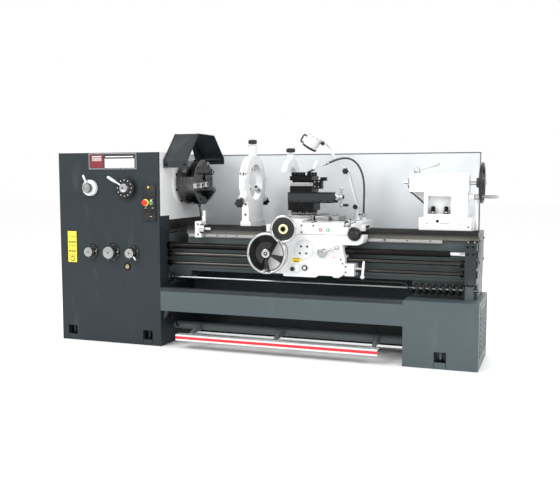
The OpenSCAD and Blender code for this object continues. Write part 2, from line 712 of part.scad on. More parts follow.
// Outline of the apron seen from the front
module apron() color(casting) {
  x0 = saddle_left + 8;
  x1 = saddle_left + 530;
  ear_x = saddle_right - 4;
  ear_z = apron_top - 62;
  outline = [
    [x0, apron_top], [x0, apron_bottom + 70], [x0 + 50, apron_bottom + 16], [x0 + 110, apron_bottom + 16],
    [x0 + 114, apron_bottom], [x0 + 330, apron_bottom], [x0 + 350, apron_bottom + 14],
    [x0 + 440, apron_bottom + 14], [x0 + 452, apron_bottom + 4], [x0 + 484, apron_bottom + 4],
    [x1, apron_bottom + 28], [x1, ear_z - 90], [x1 - 16, ear_z], [ear_x - 40, ear_z], [ear_x - 12, ear_z + 12],
    [ear_x, ear_z + 40], [ear_x, apron_top]];
  difference() {
    union() {
      difference() {
        slab_y(apron_front, apron_back, outline);
        block([x0 + 16, apron_front + 18, apron_bottom + 40], [x1 - 34, apron_back + 1, apron_top - 20]);
      }
      bar_y(14, apron_front + 1, wheel_x + 10, wheel_z, 112);
      bar_y(apron_front - 5, apron_front + 1, saddle_left + 262, leadscrew_z + 4, 59);
      bar_y(apron_front - 16, apron_front + 1, saddle_left + 210, apron_bottom + 56, 24);
      bar_y(apron_front - 10, apron_front + 1, saddle_left + 270, apron_bottom + 60, 16);
      bar_y(apron_front - 14, apron_front + 1, nut_x, nut_z, 31);
      block([x1 - 1, apron_front + 4, control_rod_z - 34], [x1 + 60, apron_back, control_rod_z + 44]);
    }
    bar_x(x0 - 10, ear_x + 10, rod_y, leadscrew_z, leadscrew_r + 5);
    bar_x(x0 - 10, ear_x + 10, rod_y, feed_rod_z, feed_rod_r + 3);
    bar_x(x0 - 10, ear_x + 10, rod_y, control_rod_z, control_rod_r + 3);
    bar_y(13, apron_front + 30, wheel_x, wheel_z, 16 + run);
    bar_y(apron_front - 15, apron_front + 19, nut_x, nut_z, shaft_r + run);
    bar_x(x1 + 10, x1 + 62, apron_front + 20, control_rod_z + 14, 6 + run);
    at(stick_x, apron_front - 1, stick_z) sphere(r = stick_socket_r);
  }
}

nut_x = saddle_left + 386;
nut_z = leadscrew_z - 10;

module half_nut_lever() color("white") {
  bar_y(apron_front - 14.4, apron_front + 24, nut_x, nut_z, shaft_r);
  bar_y(apron_front - 34, apron_front - 14.4, nut_x, nut_z, 27);
  strut([nut_x + 18, apron_front - 26, nut_z + 6], [nut_x + 92, apron_front - 30, nut_z + 32], 6);
  ball([nut_x + 102, apron_front - 30, nut_z + 36], 14);
}

stick_x = saddle_left + 592;
stick_z = apron_top + 8;
stick_r = 44;
stick_socket_r = stick_r + fit;

// Feed joystick: a round boot, its stem and knob, tilted to the left
module feed_joystick() color(black) {
  ball([stick_x, apron_front - 1, stick_z], stick_r);
  strut([stick_x - 8, apron_front - 34, stick_z + 20], [stick_x - 26, apron_front - 62, stick_z + 62], 8);
  ball([stick_x - 29, apron_front - 66, stick_z + 70], 21);
}

module apron_handwheel() color(steel) {
  at(wheel_x, -28, wheel_z) rotate([90, 0, 0])
    wheel(apron_wheel_r, 9, 30, 16, 30, 12, 3);
  bar_y(-20, apron_front + 26, wheel_x, wheel_z, 16);
  at(wheel_x + 8, -36, wheel_z - apron_wheel_r + 20) rotate([90, 0, 0]) grip(13, 62);
}

cross_wheel_y = -62;

module cross_handwheel() color(steel) {
  at(screw_x, cross_wheel_y, screw_z) rotate([90, 0, 0]) {
    wheel(cross_wheel_r, 8, 28, 14, 20, 12, 3);
    translate([0, 0, -6]) cylinder(r = cross_wheel_r - 8, h = 7);
  }
  bar_y(cross_wheel_y + 4, 18, screw_x, screw_z, 38, 34);
  bar_y(cross_wheel_y + 6, 138, screw_x, screw_z, 13);
  at(screw_x - 16, cross_wheel_y - 6, screw_z - cross_wheel_r + 12) rotate([90, 0, 0])
    grip(11, cross_wheel_y - 6 - grip_front);
}

module cross_slide() color(steel) difference() {
  block([slide_x - slide_half, slide_front, saddle_top + fit], [slide_x + slide_half, bed_rear + 60, slide_top]);
  slab_y(slide_front - 1, bed_rear + 61, [
    [slide_x - 46.5, saddle_top - 1], [slide_x + 46.5, saddle_top - 1], [slide_x + 58.5, saddle_top + 18.5],
    [slide_x - 58.5, saddle_top + 18.5]]);
  bar_z(slide_top - 12, slide_top + 1, slide_x, compound_y, 30 + run);
}

module compound_base() color(black) difference() {
  union() {
    bar_z(slide_top - 11, slide_top + fit, slide_x, compound_y, 30);
    bar_z(slide_top + fit, swivel_top, slide_x, compound_y, 88);
    block([slide_x - 90, compound_y - 72, swivel_top - 4], [slide_x + 90, compound_y + 72, base_top]);
    slab_x(slide_x - 90, slide_x + 90, [
      [compound_y - 34, base_top - 1], [compound_y + 34, base_top - 1], [compound_y + 44, base_top + 16],
      [compound_y - 44, base_top + 16]]);
  }
  bar_x(slide_x - 60, slide_x + 91, compound_y, base_top + 4, 9);
}

slide_end = slide_x + 216;

module top_slide() color(black) difference() {
  union() {
    block([slide_x - 92, compound_y - 74, base_top + fit], [slide_end, compound_y + 74, top_slide_top]);
    bar_z(top_slide_top - 1, post_top - 10, slide_x, compound_y, 16);
  }
  slab_x(slide_x - 93, slide_end + 1, [
    [compound_y - 34.5, base_top - 1], [compound_y + 34.5, base_top - 1], [compound_y + 44.5, base_top + 16.5],
    [compound_y - 44.5, base_top + 16.5]]);
  bar_x(slide_end - 60, slide_end + 1, compound_y, base_top + 40, 11 + run);
}

module top_slide_crank() color(steel) {
  z = base_top + 40;
  bar_x(slide_end - 58, slide_end + 50, compound_y, z, 11);
  bar_x(slide_end + 0.4, slide_end + 30, compound_y, z, 28);
  strut([slide_end + 42, compound_y, z - 50], [slide_end + 42, compound_y, z + 50], 7);
  ball([slide_end + 42, compound_y, z - 54], 13);
  ball([slide_end + 42, compound_y, z + 54], 11);
  bar_x(slide_end + 42, slide_end + 84, compound_y, z - 54, 7, 10);
  bar_x(slide_end + 36, slide_end + 48, compound_y, z, 15);
}

// Four-way tool post with its clamp screws and three tool shanks
module tool_post() color(black) {
  h = post_side / 2;
  z0 = top_slide_top + fit;
  slot0 = top_slide_top + 40;
  slot1 = slot0 + 37;
  difference() {
    union() {
      block([slide_x - h, compound_y - h, z0], [slide_x + h, compound_y + h, slot0]);
      block([slide_x - h + 32, compound_y - h + 32, slot0 - 1], [slide_x + h - 32, compound_y + h - 32, slot1 + 1]);
      block([slide_x - h, compound_y - h, slot1], [slide_x + h, compound_y + h, slot1 + 29]);
    }
    bar_z(z0 - 1, slot1 + 30, slide_x, compound_y, 16 + run);
  }
  for (a = [0, 90, 180, 270], u = [-54, 0, 54]) at(slide_x, compound_y, 0) rotate(a)
    translate([u, h - 16, slot0 + 25.2]) {
      cylinder(r = 7, h = slot1 + 42 - slot0 - 25.2);
      translate([-9, -9, slot1 + 34 - slot0 - 25.2]) cube([18, 18, 20]);
    }
  block([slide_x - h + 4, compound_y - h + 3, slot0], [slide_x + h + 62, compound_y - h + 28, slot0 + 25]);
  block([slide_x - h - 14, compound_y + h - 28, slot0], [slide_x + h - 10, compound_y + h - 3, slot0 + 25]);
}

module tool_post_handle() color(steel) {
  z = top_slide_top + 40 + 37 + 29;
  difference() {
    bar_z(z + 0.4, z + 30, slide_x, compound_y, 30);
    bar_z(z - 1, z + 24, slide_x, compound_y, 16 + run);
  }
  strut([slide_x, compound_y, z + 18], [slide_x + 72, compound_y - 20, z + 46], 8);
  strut([slide_x + 72, compound_y - 20, z + 46], [slide_x + 92, compound_y - 26, z + 96], 8, 12);
  ball([slide_x + 72, compound_y - 20, z + 46], 9.5);
}

// Adjustable finger with its sleeve and knob, pointing from radius r_in outwards along angle a
module finger(x, a, r_in, sleeve0, sleeve1, r_knob, sleeve_r, finger_r) at(x, axis_y, axis_z) rotate([a, 0, 0]) {
  translate([0, sleeve0, 0]) rotate([-90, 0, 0]) cylinder(r = sleeve_r, h = sleeve1 - sleeve0);
  translate([0, r_in, 0]) rotate([-90, 0, 0]) cylinder(r = finger_r, h = sleeve1 - r_in);
  translate([0, sleeve1 - 1, 0]) rotate([-90, 0, 0]) cylinder(r = 8, h = r_knob - sleeve1 - 12);
  translate([0, r_knob - 18, 0]) rotate([-90, 0, 0]) cylinder(r = 24, h = 18);
}

// Follow rest: an open C on the saddle, one finger from above and one from behind
module follow_rest() color(casting) {
  x0 = follow_x - 18;
  x1 = follow_x + 18;
  union() {
    difference() {
      bar_x(x0, x1, axis_y, axis_z, 158);
      bar_x(x0 - 1, x1 + 1, axis_y, axis_z, 96);
      slab_x(x0 - 1, x1 + 1, [
        [axis_y - 400, axis_z + 70], [axis_y - 30, axis_z + 70], [axis_y - 30, axis_z], [axis_y, axis_z],
        [axis_y, axis_z - 60], [axis_y + 90, axis_z - 60], [axis_y + 90, axis_z - 400],
        [axis_y - 400, axis_z - 400]]);
    }
    block([x0, axis_y + 96, saddle_top + 0.1], [x1, axis_y + 166, axis_z - 40]);
    block([x0 - 16, axis_y + 90, saddle_top + 0.1], [x1, axis_y + 190, saddle_top + 24]);
    finger(follow_x, 90, 92, 100, 186, 223, 26, 15);
    finger(follow_x, 0, 92, 100, 176, 213, 24, 15);
  }
}

// Work lamp and coolant pipe on the rear wing
lamp_x = saddle_left + 492;
lamp_y = 505;
lamp_pivot_z = saddle_top + 90;
lamp_knuckle_r = 17;
elbow = [lamp_x - 68, lamp_y, lamp_pivot_z + 240];
head_joint = [elbow[0] - 168, lamp_y, elbow[2] + 190];
hose_x = saddle_left + 530;
hose_y = 548;

module lamp_lower_arm() color("white") {
  bar_y(lamp_y - 14, lamp_y + 14, lamp_x, lamp_pivot_z, lamp_knuckle_r);
  bar_y(lamp_y - 34, lamp_y - 14, lamp_x, lamp_pivot_z, 12);
  strut([lamp_x, lamp_y, lamp_pivot_z], elbow + [4.3, 0, -15.5], 7);
  bar_y(lamp_y - 12, lamp_y + 12, elbow[0], elbow[2], 17);
}

module lamp_upper_arm() color("white") {
  d = (head_joint - elbow) / norm(head_joint - elbow);
  for (s = [-1, 1]) strut(elbow + [0, s * 17.5, 0] + 6 * d, head_joint + [0, s * 17.5, 0] - 6 * d, 4.5);
  for (p = [elbow, head_joint]) for (s = [-1, 1])
    bar_y(p[1] + (s > 0 ? 12.4 : -22), p[1] + (s > 0 ? 22 : -12.4), p[0], p[2], 15);
  bar_y(elbow[1] - 42, elbow[1] - 21, elbow[0], elbow[2], 19);
  bar_y(lamp_y - 17, lamp_y + 17, (elbow[0] + head_joint[0]) / 2, (elbow[2] + head_joint[2]) / 2, 4);
}

// Drum shaped lamp head with its lens and handle, pointing down at the tool
module lamp_head() color("white") {
  tilt = 212;
  centre = [head_joint[0] - 78, lamp_y, head_joint[2] + 14];
  bar_y(lamp_y - 12, lamp_y + 12, head_joint[0], head_joint[2], 14);
  strut(head_joint, centre + [30, 0, -4], 9);
  at(centre[0], centre[1], centre[2]) rotate([0, tilt, 0]) {
    difference() {
      rotate_extrude() polygon([
        [0, -52], [30, -50], [46, -38], [52, -10], [52, 52], [48, 52], [48, -8], [42, -34], [28, -46], [0, -48]]);
    }
    translate([0, 0, 42]) cylinder(r = 47.9, h = 6);
    for (z = [-4, 36]) translate([51, 0, z]) rotate([0, 90, 0]) cylinder(r = 4, h = 25);
    translate([76, 0, -10]) cylinder(r = 5, h = 52);
  }
}

// Stiff coolant gooseneck: route in the machine's own places, from its cock to the nozzle
pipe_route = [
  [2065, 548, 884], [2066, 548, 960], [2068, 546, 1040], [2067, 541, 1110], [2058, 531, 1170],
  [2040, 516, 1220], [2014, 499, 1256], [1982, 482, 1276], [1946, 466, 1280], [1910, 452, 1273],
  [1876, 439, 1260], [1846, 428, 1246]];

function along(route, i) =
  let (a = route[max(i - 1, 0)], b = route[min(i + 1, len(route) - 1)]) (b - a) / norm(b - a);

// Rings of points round the route, joined into one closed tube
module tube(route, r, sides) {
  n = len(route);
  rings = [for (i = [0:n - 1]) let (t = along(route, i), u = cross(t, [0, 1, 0]) / norm(cross(t, [0, 1, 0])),
    v = cross(t, u)) for (k = [0:sides - 1])
      route[i] + r * (cos(360 * k / sides) * u + sin(360 * k / sides) * v)];
  polyhedron(points = rings, faces = concat(
    [[for (k = [0:sides - 1]) k]],
    [for (i = [0:n - 2], k = [0:sides - 1]) each [
      [i * sides + k, (i + 1) * sides + k, (i + 1) * sides + (k + 1) % sides],
      [i * sides + k, (i + 1) * sides + (k + 1) % sides, i * sides + (k + 1) % sides]]],
    [[for (k = [sides - 1:-1:0]) (n - 1) * sides + k]]));
}

module coolant_pipe() color(slate) {
  shift = [saddle_left - 1535, 0, saddle_top - 863];
  bar_z(saddle_top + 18, saddle_top + 30, hose_x, hose_y, 13);
  at(0, 0, 0) translate(shift) tube(pipe_route, 7, 12);
  strut([1850, 429.3, 1247.5] + shift, [1812, 417, 1232] + shift, 9, 6);
}

// Tailstock ----------------------------------------------------------------------------

base_front = bed_front + 40;
base_back = bed_rear - 40;
tail_base_top = way_height + 88;

module tailstock() color(casting) {
  cy = axis_y;
  difference() {
    union() {
      block([barrel_left, cy - barrel_half, axis_z - barrel_half - 4],
        [barrel_right, cy + barrel_half, axis_z + barrel_half - 8]);
      bar_x(barrel_left, barrel_right, cy, axis_z, barrel_half + 2);
      block([barrel_left + 94, cy - barrel_half, tail_base_top - 1],
        [barrel_right - 5, cy + barrel_half, axis_z - barrel_half]);
      slab_y(cy - 12, cy + 12, [
        [barrel_left + 20, axis_z - barrel_half], [barrel_left + 95, axis_z - barrel_half],
        [barrel_left + 95, axis_z - barrel_half - 90]]);
      block([barrel_left + 77, base_front, way_height + fit], [barrel_right + 25, base_back, tail_base_top]);
      block([barrel_left + 90, base_front + 46, way_height - 40], [barrel_right + 10, base_back - 46, way_height + 1]);
      bar_x(barrel_right - 20, barrel_right + 31, cy - 18, axis_z - 88, 21);
      bar_z(axis_z + 40, axis_z + 60, barrel_left + 40, cy, 24);
    }
    // pocket with the clamp nuts, seen from the front
    block([barrel_left + 118, cy - barrel_half - 1, tail_base_top + 22],
      [barrel_left + 262, cy - 10, axis_z - barrel_half - 30]);
    bar_x(barrel_left - 1, barrel_right - 40, cy, axis_z, quill_r + run);
    bar_x(barrel_right - 41, barrel_right + 1, cy, axis_z, 16 + run);
    bar_x(barrel_right - 10, barrel_right + 32, cy - 18, axis_z - 88, 10 + run);
    bar_z(axis_z + quill_r - 4, axis_z + 61, barrel_left + 40, cy, 9 + run);
  }
  for (dx = [150, 232]) {
    bar_z(tail_base_top + 22, tail_base_top + 34, barrel_left + dx, cy - 34, 17);
    bar_z(tail_base_top + 34, tail_base_top + 52, barrel_left + dx, cy - 34, 10);
  }
}

module quill() color(steel) {
  difference() {
    bar_x(barrel_left - 14, barrel_right - 130, axis_y, axis_z, quill_r);
    bar_x(barrel_left + 100, barrel_right - 129, axis_y, axis_z, 19);
  }
  bar_x(barrel_left - 58, barrel_left - 13, axis_y, axis_z, 2, 15);
}

module tail_handwheel() color(steel) {
  at(tail_wheel_x, axis_y, axis_z) rotate([0, 90, 0]) wheel(tail_wheel_r, 13, 30, 18, 34, 12, 3);
  bar_x(barrel_right - 100, tail_wheel_x + 10, axis_y, axis_z, 16);
  at(tail_wheel_x + 8, axis_y - 44, axis_z - 86) rotate([0, 90, 0]) grip(12, tail_grip_end - tail_wheel_x - 8);
}

module quill_lever() color(steel) {
  x = barrel_left + 40;
  bar_z(axis_z + quill_r + 1, axis_z + 62, x, axis_y, 9);
  bar_z(axis_z + 60.4, axis_z + 94, x, axis_y, 19);
  strut([x + 14, axis_y, axis_z + 82], [x + 138, axis_y - 8, axis_z + 120], 6, 12);
}

module tail_clamp_lever() color("white") {
  x = barrel_right + 47;
  y = axis_y - 18;
  z = axis_z - 88;
  bar_x(barrel_right - 8, x + 12, y, z, 10);
  bar_x(x - 14, x + 14, y, z, 18);
  strut([x, y, z + 34], [x, y, z - 206], 9, 11);
}

// Steady rest ----------------------------------------------------------------------------

clamp_y = axis_y - ring_out + 8;
hinge_y = axis_y + ring_out + 9;
split = 0.4;

module steady_rest() color(casting) {
  x0 = steady_x - steady_half;
  x1 = steady_x + steady_half;
  union() {
    difference() {
      union() {
        bar_x(x0, x1, axis_y, axis_z, ring_out);
        block([x0, axis_y - 134, way_height + fit], [x1, axis_y + 134, axis_z - 90]);
        block([x0 - 12, axis_y - 134, way_height + fit], [x1 + 12, axis_y + 134, way_height + 44]);
        block([x0 - 10, axis_y - 92, way_height - 34], [x1 + 10, axis_y + 92, way_height + 1]);
      }
      bar_x(x0 - 1, x1 + 1, axis_y, axis_z, ring_in);
      block([x0 - 20, axis_y - 200, axis_z], [x1 + 20, axis_y + 200, axis_z + 200]);
    }
    // hinge ear at the back and clamp ear in front
    difference() {
      block([x0 + 12, axis_y + ring_out - 14, axis_z - 40], [x1 - 12, hinge_y + 12, axis_z + 11]);
      bar_x(x0, x1, hinge_y, axis_z, 6 + run);
      block([x0, axis_y + ring_out - 30, axis_z], [x1, hinge_y - 12, axis_z + 12]);
    }
    block([x0 + 6, clamp_y - 20, axis_z - 44], [x1 - 6, clamp_y + 20, axis_z]);
    for (a = [-150, -30]) finger(steady_x, a, 66, ring_in + 6, 236, 284, 27, 17);
  }
}

module steady_top() color(casting) {
  x0 = steady_x - steady_half;
  x1 = steady_x + steady_half;
  union() {
    difference() {
      bar_x(x0, x1, axis_y, axis_z, ring_out);
      bar_x(x0 - 1, x1 + 1, axis_y, axis_z, ring_in);
      block([x0 - 1, axis_y - 200, axis_z - 200], [x1 + 1, axis_y + 200, axis_z + split]);
      block([x0 + 11, axis_y + ring_out - 34, axis_z - 1], [x1 - 11, axis_y + 210, axis_z + 14]);
    }
    for (s = [x0, x1 - 11]) block([s, axis_y + ring_out - 22, axis_z + split], [s + 11, hinge_y + 10, axis_z + 34]);
    bar_x(x0, x1, hinge_y, axis_z, 6);
    for (s = [x0, x1 - 11]) bar_x(s, s + 11, hinge_y, axis_z, 8.6);
    block([x0 + 6, clamp_y - 20, axis_z + split], [x1 - 6, clamp_y + 20, axis_z + 30]);
    bar_z(axis_z + 29, axis_z + 50, steady_x, clamp_y, 7);
    bar_z(axis_z + 50, axis_z + 66, steady_x, clamp_y, 20);
    finger(steady_x, 90, 66, ring_in + 6, 254, 284, 29, 17);
  }
}

// Micrometer stop clamped on the front rail
module carriage_stop() color(casting) {
  x0 = 985;
  top = way_height + 40;
  block([x0, bed_front - 34, way_height - rail_height - 22], [x0 + 46, bed_front - fit, top]);
  block([x0, bed_front - 34, way_height + vee_rise + 1], [x0 + 46, bed_front + 30, top]);
  bar_x(x0 + 45, x0 + 78, bed_front - 36, way_height - 8, 33);
  bar_x(x0 + 78, x0 + 116, bed_front - 36, way_height - 8, 8);
  strut([x0 + 30, bed_front + 10, top - 2], [x0 + 14, bed_front + 10, top + 104], 5);
  ball([x0 + 13, bed_front + 10, top + 108], 11);
}

// Foot brake: cross tube, three arms and the long pedal
module foot_brake() color("silver") {
  x0 = 923;
  x1 = 2303;
  difference() {
    bar_x(head_length + 12, tail_left - 12, brake_y, brake_z, 28);
    bar_x(head_length + 20, tail_left - 20, brake_y, brake_z, 24);
  }
  for (x = [head_length + 0.4, tail_left - 12]) bar_x(x, x + 11.6, brake_y, brake_z, 12);
  for (x = [x0 + 90, (x0 + x1) / 2, x1 - 40])
    slab_x(x - 8, x + 8, [
      [-20, 96], [10, 96], [brake_y, brake_z - 22], [brake_y, brake_z + 24], [brake_y - 60, brake_z + 30]]);
  difference() {
    block([x0, -42, 60], [x1, 18, 101]);
    block([x0 - 1, -38, 59], [x1 + 1, 19, 97]);
  }
}

cable_left = bed_right - 400;
cable_right = bed_right - 66;
coil_r = 36;

// Curly cable round the guide bar as one fat sleeve, and its straight lead to the apron
module curly_cable() color(black) {
  difference() {
    bar_x(cable_left, cable_right, bar_y, bar_z, coil_r);
    bar_x(cable_left - 1, cable_right + 1, bar_y, bar_z, bar_r + 1);
  }
  bar_x(saddle_left + 466, cable_left + 4, bar_y, bar_z + 30, 5);
  bar_z(bar_z + 30, apron_bottom + 4 - fit, saddle_left + 470, bar_y, 5);
}

left_pedestal();
right_pedestal();
chip_tray();
bed();
rack();
headstock_casting();
front_cover();
spindle_bearings();
control_panel();
splash_guard();
rod_bracket();
cable_bar();
main_motor();
drive_belts();
spindle();
chuck_body();
chuck_jaw_1();
chuck_jaw_2();
chuck_jaw_3();
motor_pulley();
end_cover();
chuck_guard();
leadscrew();
feed_rod();
control_rod();
spindle_lever();
saddle();
apron();
apron_handwheel();
half_nut_lever();
feed_joystick();
cross_slide();
cross_handwheel();
compound_base();
top_slide();
top_slide_crank();
tool_post();
tool_post_handle();
follow_rest();
lamp_lower_arm();
lamp_upper_arm();
lamp_head();
coolant_pipe();
tailstock();
quill();
tail_handwheel();
quill_lever();
tail_clamp_lever();
steady_rest();
steady_top();
carriage_stop();
direction_lever();
speed_dial();
gear_knob_1();
gear_knob_2();
gear_knob_3();
stop_button();
start_button();
foot_brake();
curly_cable();
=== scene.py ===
"""Looks of a gap-bed centre lathe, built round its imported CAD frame.

Every piece is in metres in the frame's own axes: +X towards the tailstock, +Y towards the
splash guard and +Z up, with the floor at zero.
"""

import logging
import math
from dataclasses import dataclass
from enum import Enum
from typing import Callable, Sequence

import bmesh
import bpy
from mathutils import Matrix, Vector


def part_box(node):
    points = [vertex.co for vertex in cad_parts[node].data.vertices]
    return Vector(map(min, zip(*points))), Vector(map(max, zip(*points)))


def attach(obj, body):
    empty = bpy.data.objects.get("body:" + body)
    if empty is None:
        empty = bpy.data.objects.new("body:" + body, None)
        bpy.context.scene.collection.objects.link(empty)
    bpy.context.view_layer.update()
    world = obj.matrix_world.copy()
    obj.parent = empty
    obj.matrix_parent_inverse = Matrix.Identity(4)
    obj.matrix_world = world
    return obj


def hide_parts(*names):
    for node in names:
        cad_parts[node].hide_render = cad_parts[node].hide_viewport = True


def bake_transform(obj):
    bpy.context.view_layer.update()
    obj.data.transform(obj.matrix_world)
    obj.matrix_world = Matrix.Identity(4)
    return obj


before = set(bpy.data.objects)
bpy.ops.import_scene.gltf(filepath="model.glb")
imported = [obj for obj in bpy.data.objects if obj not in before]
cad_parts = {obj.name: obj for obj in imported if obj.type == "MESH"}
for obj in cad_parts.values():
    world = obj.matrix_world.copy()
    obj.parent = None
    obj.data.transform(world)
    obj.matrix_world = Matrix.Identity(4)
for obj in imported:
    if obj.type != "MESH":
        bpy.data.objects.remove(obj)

log = logging.getLogger("lathe")

MM = 0.001
TURN = 2 * math.pi
Point = Sequence[float]
Color = tuple[float, float, float]


class Axis(Enum):
    """Direction that a round piece's own axis points in."""

    X = Vector((1, 0, 0))
    Y = Vector((0, 1, 0))
    Z = Vector((0, 0, 1))
    FRONT = Vector((0, -1, 0))
    LEFT = Vector((-1, 0, 0))


# Finishes ---------------------------------------------------------------------------


class Shader:
    """A node tree with one Principled shader, and short calls for the nodes a finish needs."""

    def __init__(self, name: str) -> None:
        """Make an empty material of this name with its shader and output."""
        self.material = bpy.data.materials.new(name)
        self.material.use_nodes = True
        self.tree = self.material.node_tree
        self.tree.nodes.clear()
        self.surface = self.add("ShaderNodeBsdfPrincipled")
        output = self.add("ShaderNodeOutputMaterial")
        self.join(self.surface.outputs[0], output.inputs["Surface"])
        self.place = self.add("ShaderNodeTexCoord").outputs["Object"]

    def add(self, kind: str, **settings: object) -> bpy.types.Node:
        """Add a node and set its properties.

        Args:
            kind: Blender's name of the node type.
            settings: properties to set on the node.

        Returns:
            The new node.
        """
        node = self.tree.nodes.new(kind)
        for key, value in settings.items():
            setattr(node, key, value)
        return node

    def join(self, source: bpy.types.NodeSocket, target: bpy.types.NodeSocket) -> None:
        """Link one socket to another."""
        self.tree.links.new(source, target)

    def put(self, target: bpy.types.NodeSocket, value: object) -> None:
        """Link a socket to the target, or write a plain value on it."""
        if isinstance(value, bpy.types.NodeSocket):
            self.join(value, target)
        elif isinstance(value, tuple) and len(value) == 3 and target.type == "RGBA":
            target.default_value = (*value, 1.0)
        else:
            target.default_value = value

    def set(self, **values: object) -> None:
        """Write or link the Principled shader's inputs, with _ for a space in each name."""
        for key, value in values.items():
            self.put(self.surface.inputs[key.replace("_", " ")], value)

    def noise(
        self, scale: float, detail: float = 4.0, stretch: Point = (1, 1, 1)
    ) -> bpy.types.NodeSocket:
        """Noise in the object's own place.

        Args:
            scale: cycles a metre.
            detail: octaves.
            stretch: factors on the three axes.

        Returns:
            The noise's value socket.
        """
        mapping = self.add("ShaderNodeMapping")
        mapping.inputs["Scale"].default_value = stretch
        self.join(self.place, mapping.inputs["Vector"])
        noise = self.add("ShaderNodeTexNoise")
        noise.inputs["Scale"].default_value = scale
        noise.inputs["Detail"].default_value = detail
        self.join(mapping.outputs[0], noise.inputs["Vector"])
        return noise.outputs["Fac"]

    def span(self, value: object, low: float, high: float, to_low: float = 0.0, to_high: float = 1.0):
        """Map a value from one range to another and hold it inside.

        Args:
            value: the socket to map.
            low: start of the range that comes in.
            high: end of the range that comes in.
            to_low: what low becomes.
            to_high: what high becomes.

        Returns:
            The mapped socket.
        """
        node = self.add("ShaderNodeMapRange", clamp=True)
        for socket, number in zip(node.inputs[1:5], (low, high, to_low, to_high)):
            socket.default_value = number
        self.join(value, node.inputs[0])
        return node.outputs[0]

    def math(self, operation: str, first: object, second: object = 0.0) -> bpy.types.NodeSocket:
        """Return a Math node's output for two values or sockets."""
        node = self.add("ShaderNodeMath", operation=operation)
        self.put(node.inputs[0], first)
        self.put(node.inputs[1], second)
        return node.outputs[0]

    def mix(self, factor: object, first: object, second: object) -> bpy.types.NodeSocket:
        """Return the mix of two colours."""
        node = self.add("ShaderNodeMix", data_type="RGBA")
        self.put(node.inputs["Factor"], factor)
        self.put(node.inputs["A"], first)
        self.put(node.inputs["B"], second)
        return node.outputs["Result"]

    def along(self, axis: str) -> bpy.types.NodeSocket:
        """Return the place's X, Y or Z in metres."""
        node = self.add("ShaderNodeSeparateXYZ")
        self.join(self.place, node.inputs[0])
        return node.outputs[axis]

    def facing(self, axis: str) -> bpy.types.NodeSocket:
        """Return the true surface normal's X, Y or Z."""
        node = self.add("ShaderNodeSeparateXYZ")
        self.join(self.add("ShaderNodeNewGeometry").outputs["True Normal"], node.inputs[0])
        return node.outputs[axis]

    def soft_edge(self, radius: float) -> bpy.types.NodeSocket:
        """Return a normal that rounds sharp edges to this radius."""
        node = self.add("ShaderNodeBevel", samples=4)
        node.inputs["Radius"].default_value = radius
        return node.outputs[0]

    def rubbed_edge(self, radius: float) -> bpy.types.NodeSocket:
        """Return a mask that is 1 along outer edges, broken up by noise."""
        rounded = self.soft_edge(radius)
        dot = self.add("ShaderNodeVectorMath", operation="DOT_PRODUCT")
        self.join(rounded, dot.inputs[0])
        self.join(self.add("ShaderNodeNewGeometry").outputs["True Normal"], dot.inputs[1])
        edge = self.span(dot.outputs["Value"], 0.995, 0.90)
        return self.math("MULTIPLY", edge, self.span(self.noise(38.0), 0.50, 0.62))

    def bump(self, height: object, strength: float, depth: float, edge: float) -> None:
        """Give the surface a bump on softly rounded edges.

        Args:
            height: the bump's height socket.
            strength: its strength.
            depth: its depth in metres.
            edge: the radius that sharp edges are rounded to, or 0.
        """
        node = self.add("ShaderNodeBump")
        node.inputs["Strength"].default_value = strength
        node.inputs["Distance"].default_value = depth
        self.join(height, node.inputs["Height"])
        if edge:
            self.join(self.soft_edge(edge), node.inputs["Normal"])
        self.join(node.outputs[0], self.surface.inputs["Normal"])


@dataclass(frozen=True)
class Enamel:
    """Machine enamel on sheet or casting, with orange peel, dust, and wear on its edges."""

    name: str
    color: Color
    worn: Color = (0.30, 0.31, 0.32)
    roughness: float = 0.36
    grain: float = 420.0
    relief: float = 0.05
    edge: float = 0.0022
    wear: float = 0.35
    gloss: float = 0.26

    def paint(self) -> Shader:
        """Return the shader before anything is laid over the paint."""
        shader = Shader(self.name)
        shade = shader.span(shader.noise(2.2, 5.0), 0.3, 0.7, 0.93, 1.05)
        tone = shader.add("ShaderNodeHueSaturation")
        tone.inputs["Color"].default_value = (*self.color, 1.0)
        shader.join(shade, tone.inputs["Value"])
        smear = shader.math("MULTIPLY", shader.span(shader.noise(7.0, 8.0, (1, 1, 0.35)), 0.58, 0.8), 0.18)
        dusty = shader.mix(smear, tone.outputs[0], tuple(0.6 * c + 0.16 for c in self.color))
        rubbed = shader.math("MULTIPLY", shader.rubbed_edge(0.004), self.wear)
        shader.color = shader.mix(rubbed, dusty, self.worn)
        shader.rough = shader.span(
            shader.noise(26.0, 6.0), 0.3, 0.7, self.roughness - 0.06, self.roughness + 0.09
        )
        shader.set(Base_Color=shader.color, Roughness=shader.rough)
        shader.surface.inputs["Specular IOR Level"].default_value = self.gloss
        shader.bump(shader.noise(self.grain, 3.0), self.relief, 0.0004, self.edge)
        return shader

    def build(self) -> bpy.types.Material:
        """Return the finished material."""
        return self.paint().material


@dataclass(frozen=True)
class Casting(Enamel):
    """Enamel over a filled iron casting, a little uneven."""

    grain: float = 95.0
    relief: float = 0.10
    edge: float = 0.0035
    wear: float = 0.25


@dataclass(frozen=True)
class SoftEnamel(Enamel):
    """Glossy enamel sheet with its surroundings painted on as soft cloudy patches of reflection."""

    # Colour of the painted reflection patches.
    cloud: Color = (0.44, 0.47, 0.49)

    def build(self) -> bpy.types.Material:
        """Return enamel with soft darker clouds of painted reflection."""
        shader = self.paint()
        # Soft darker patches mixed into the colour: painted reflections of the surroundings.
        reflection_patch = shader.span(shader.noise(1.9, 1.0, (1.4, 1, 1)), 0.55, 0.82, 0.0, 0.7)
        shader.set(Base_Color=shader.mix(reflection_patch, shader.color, self.cloud))
        return shader.material


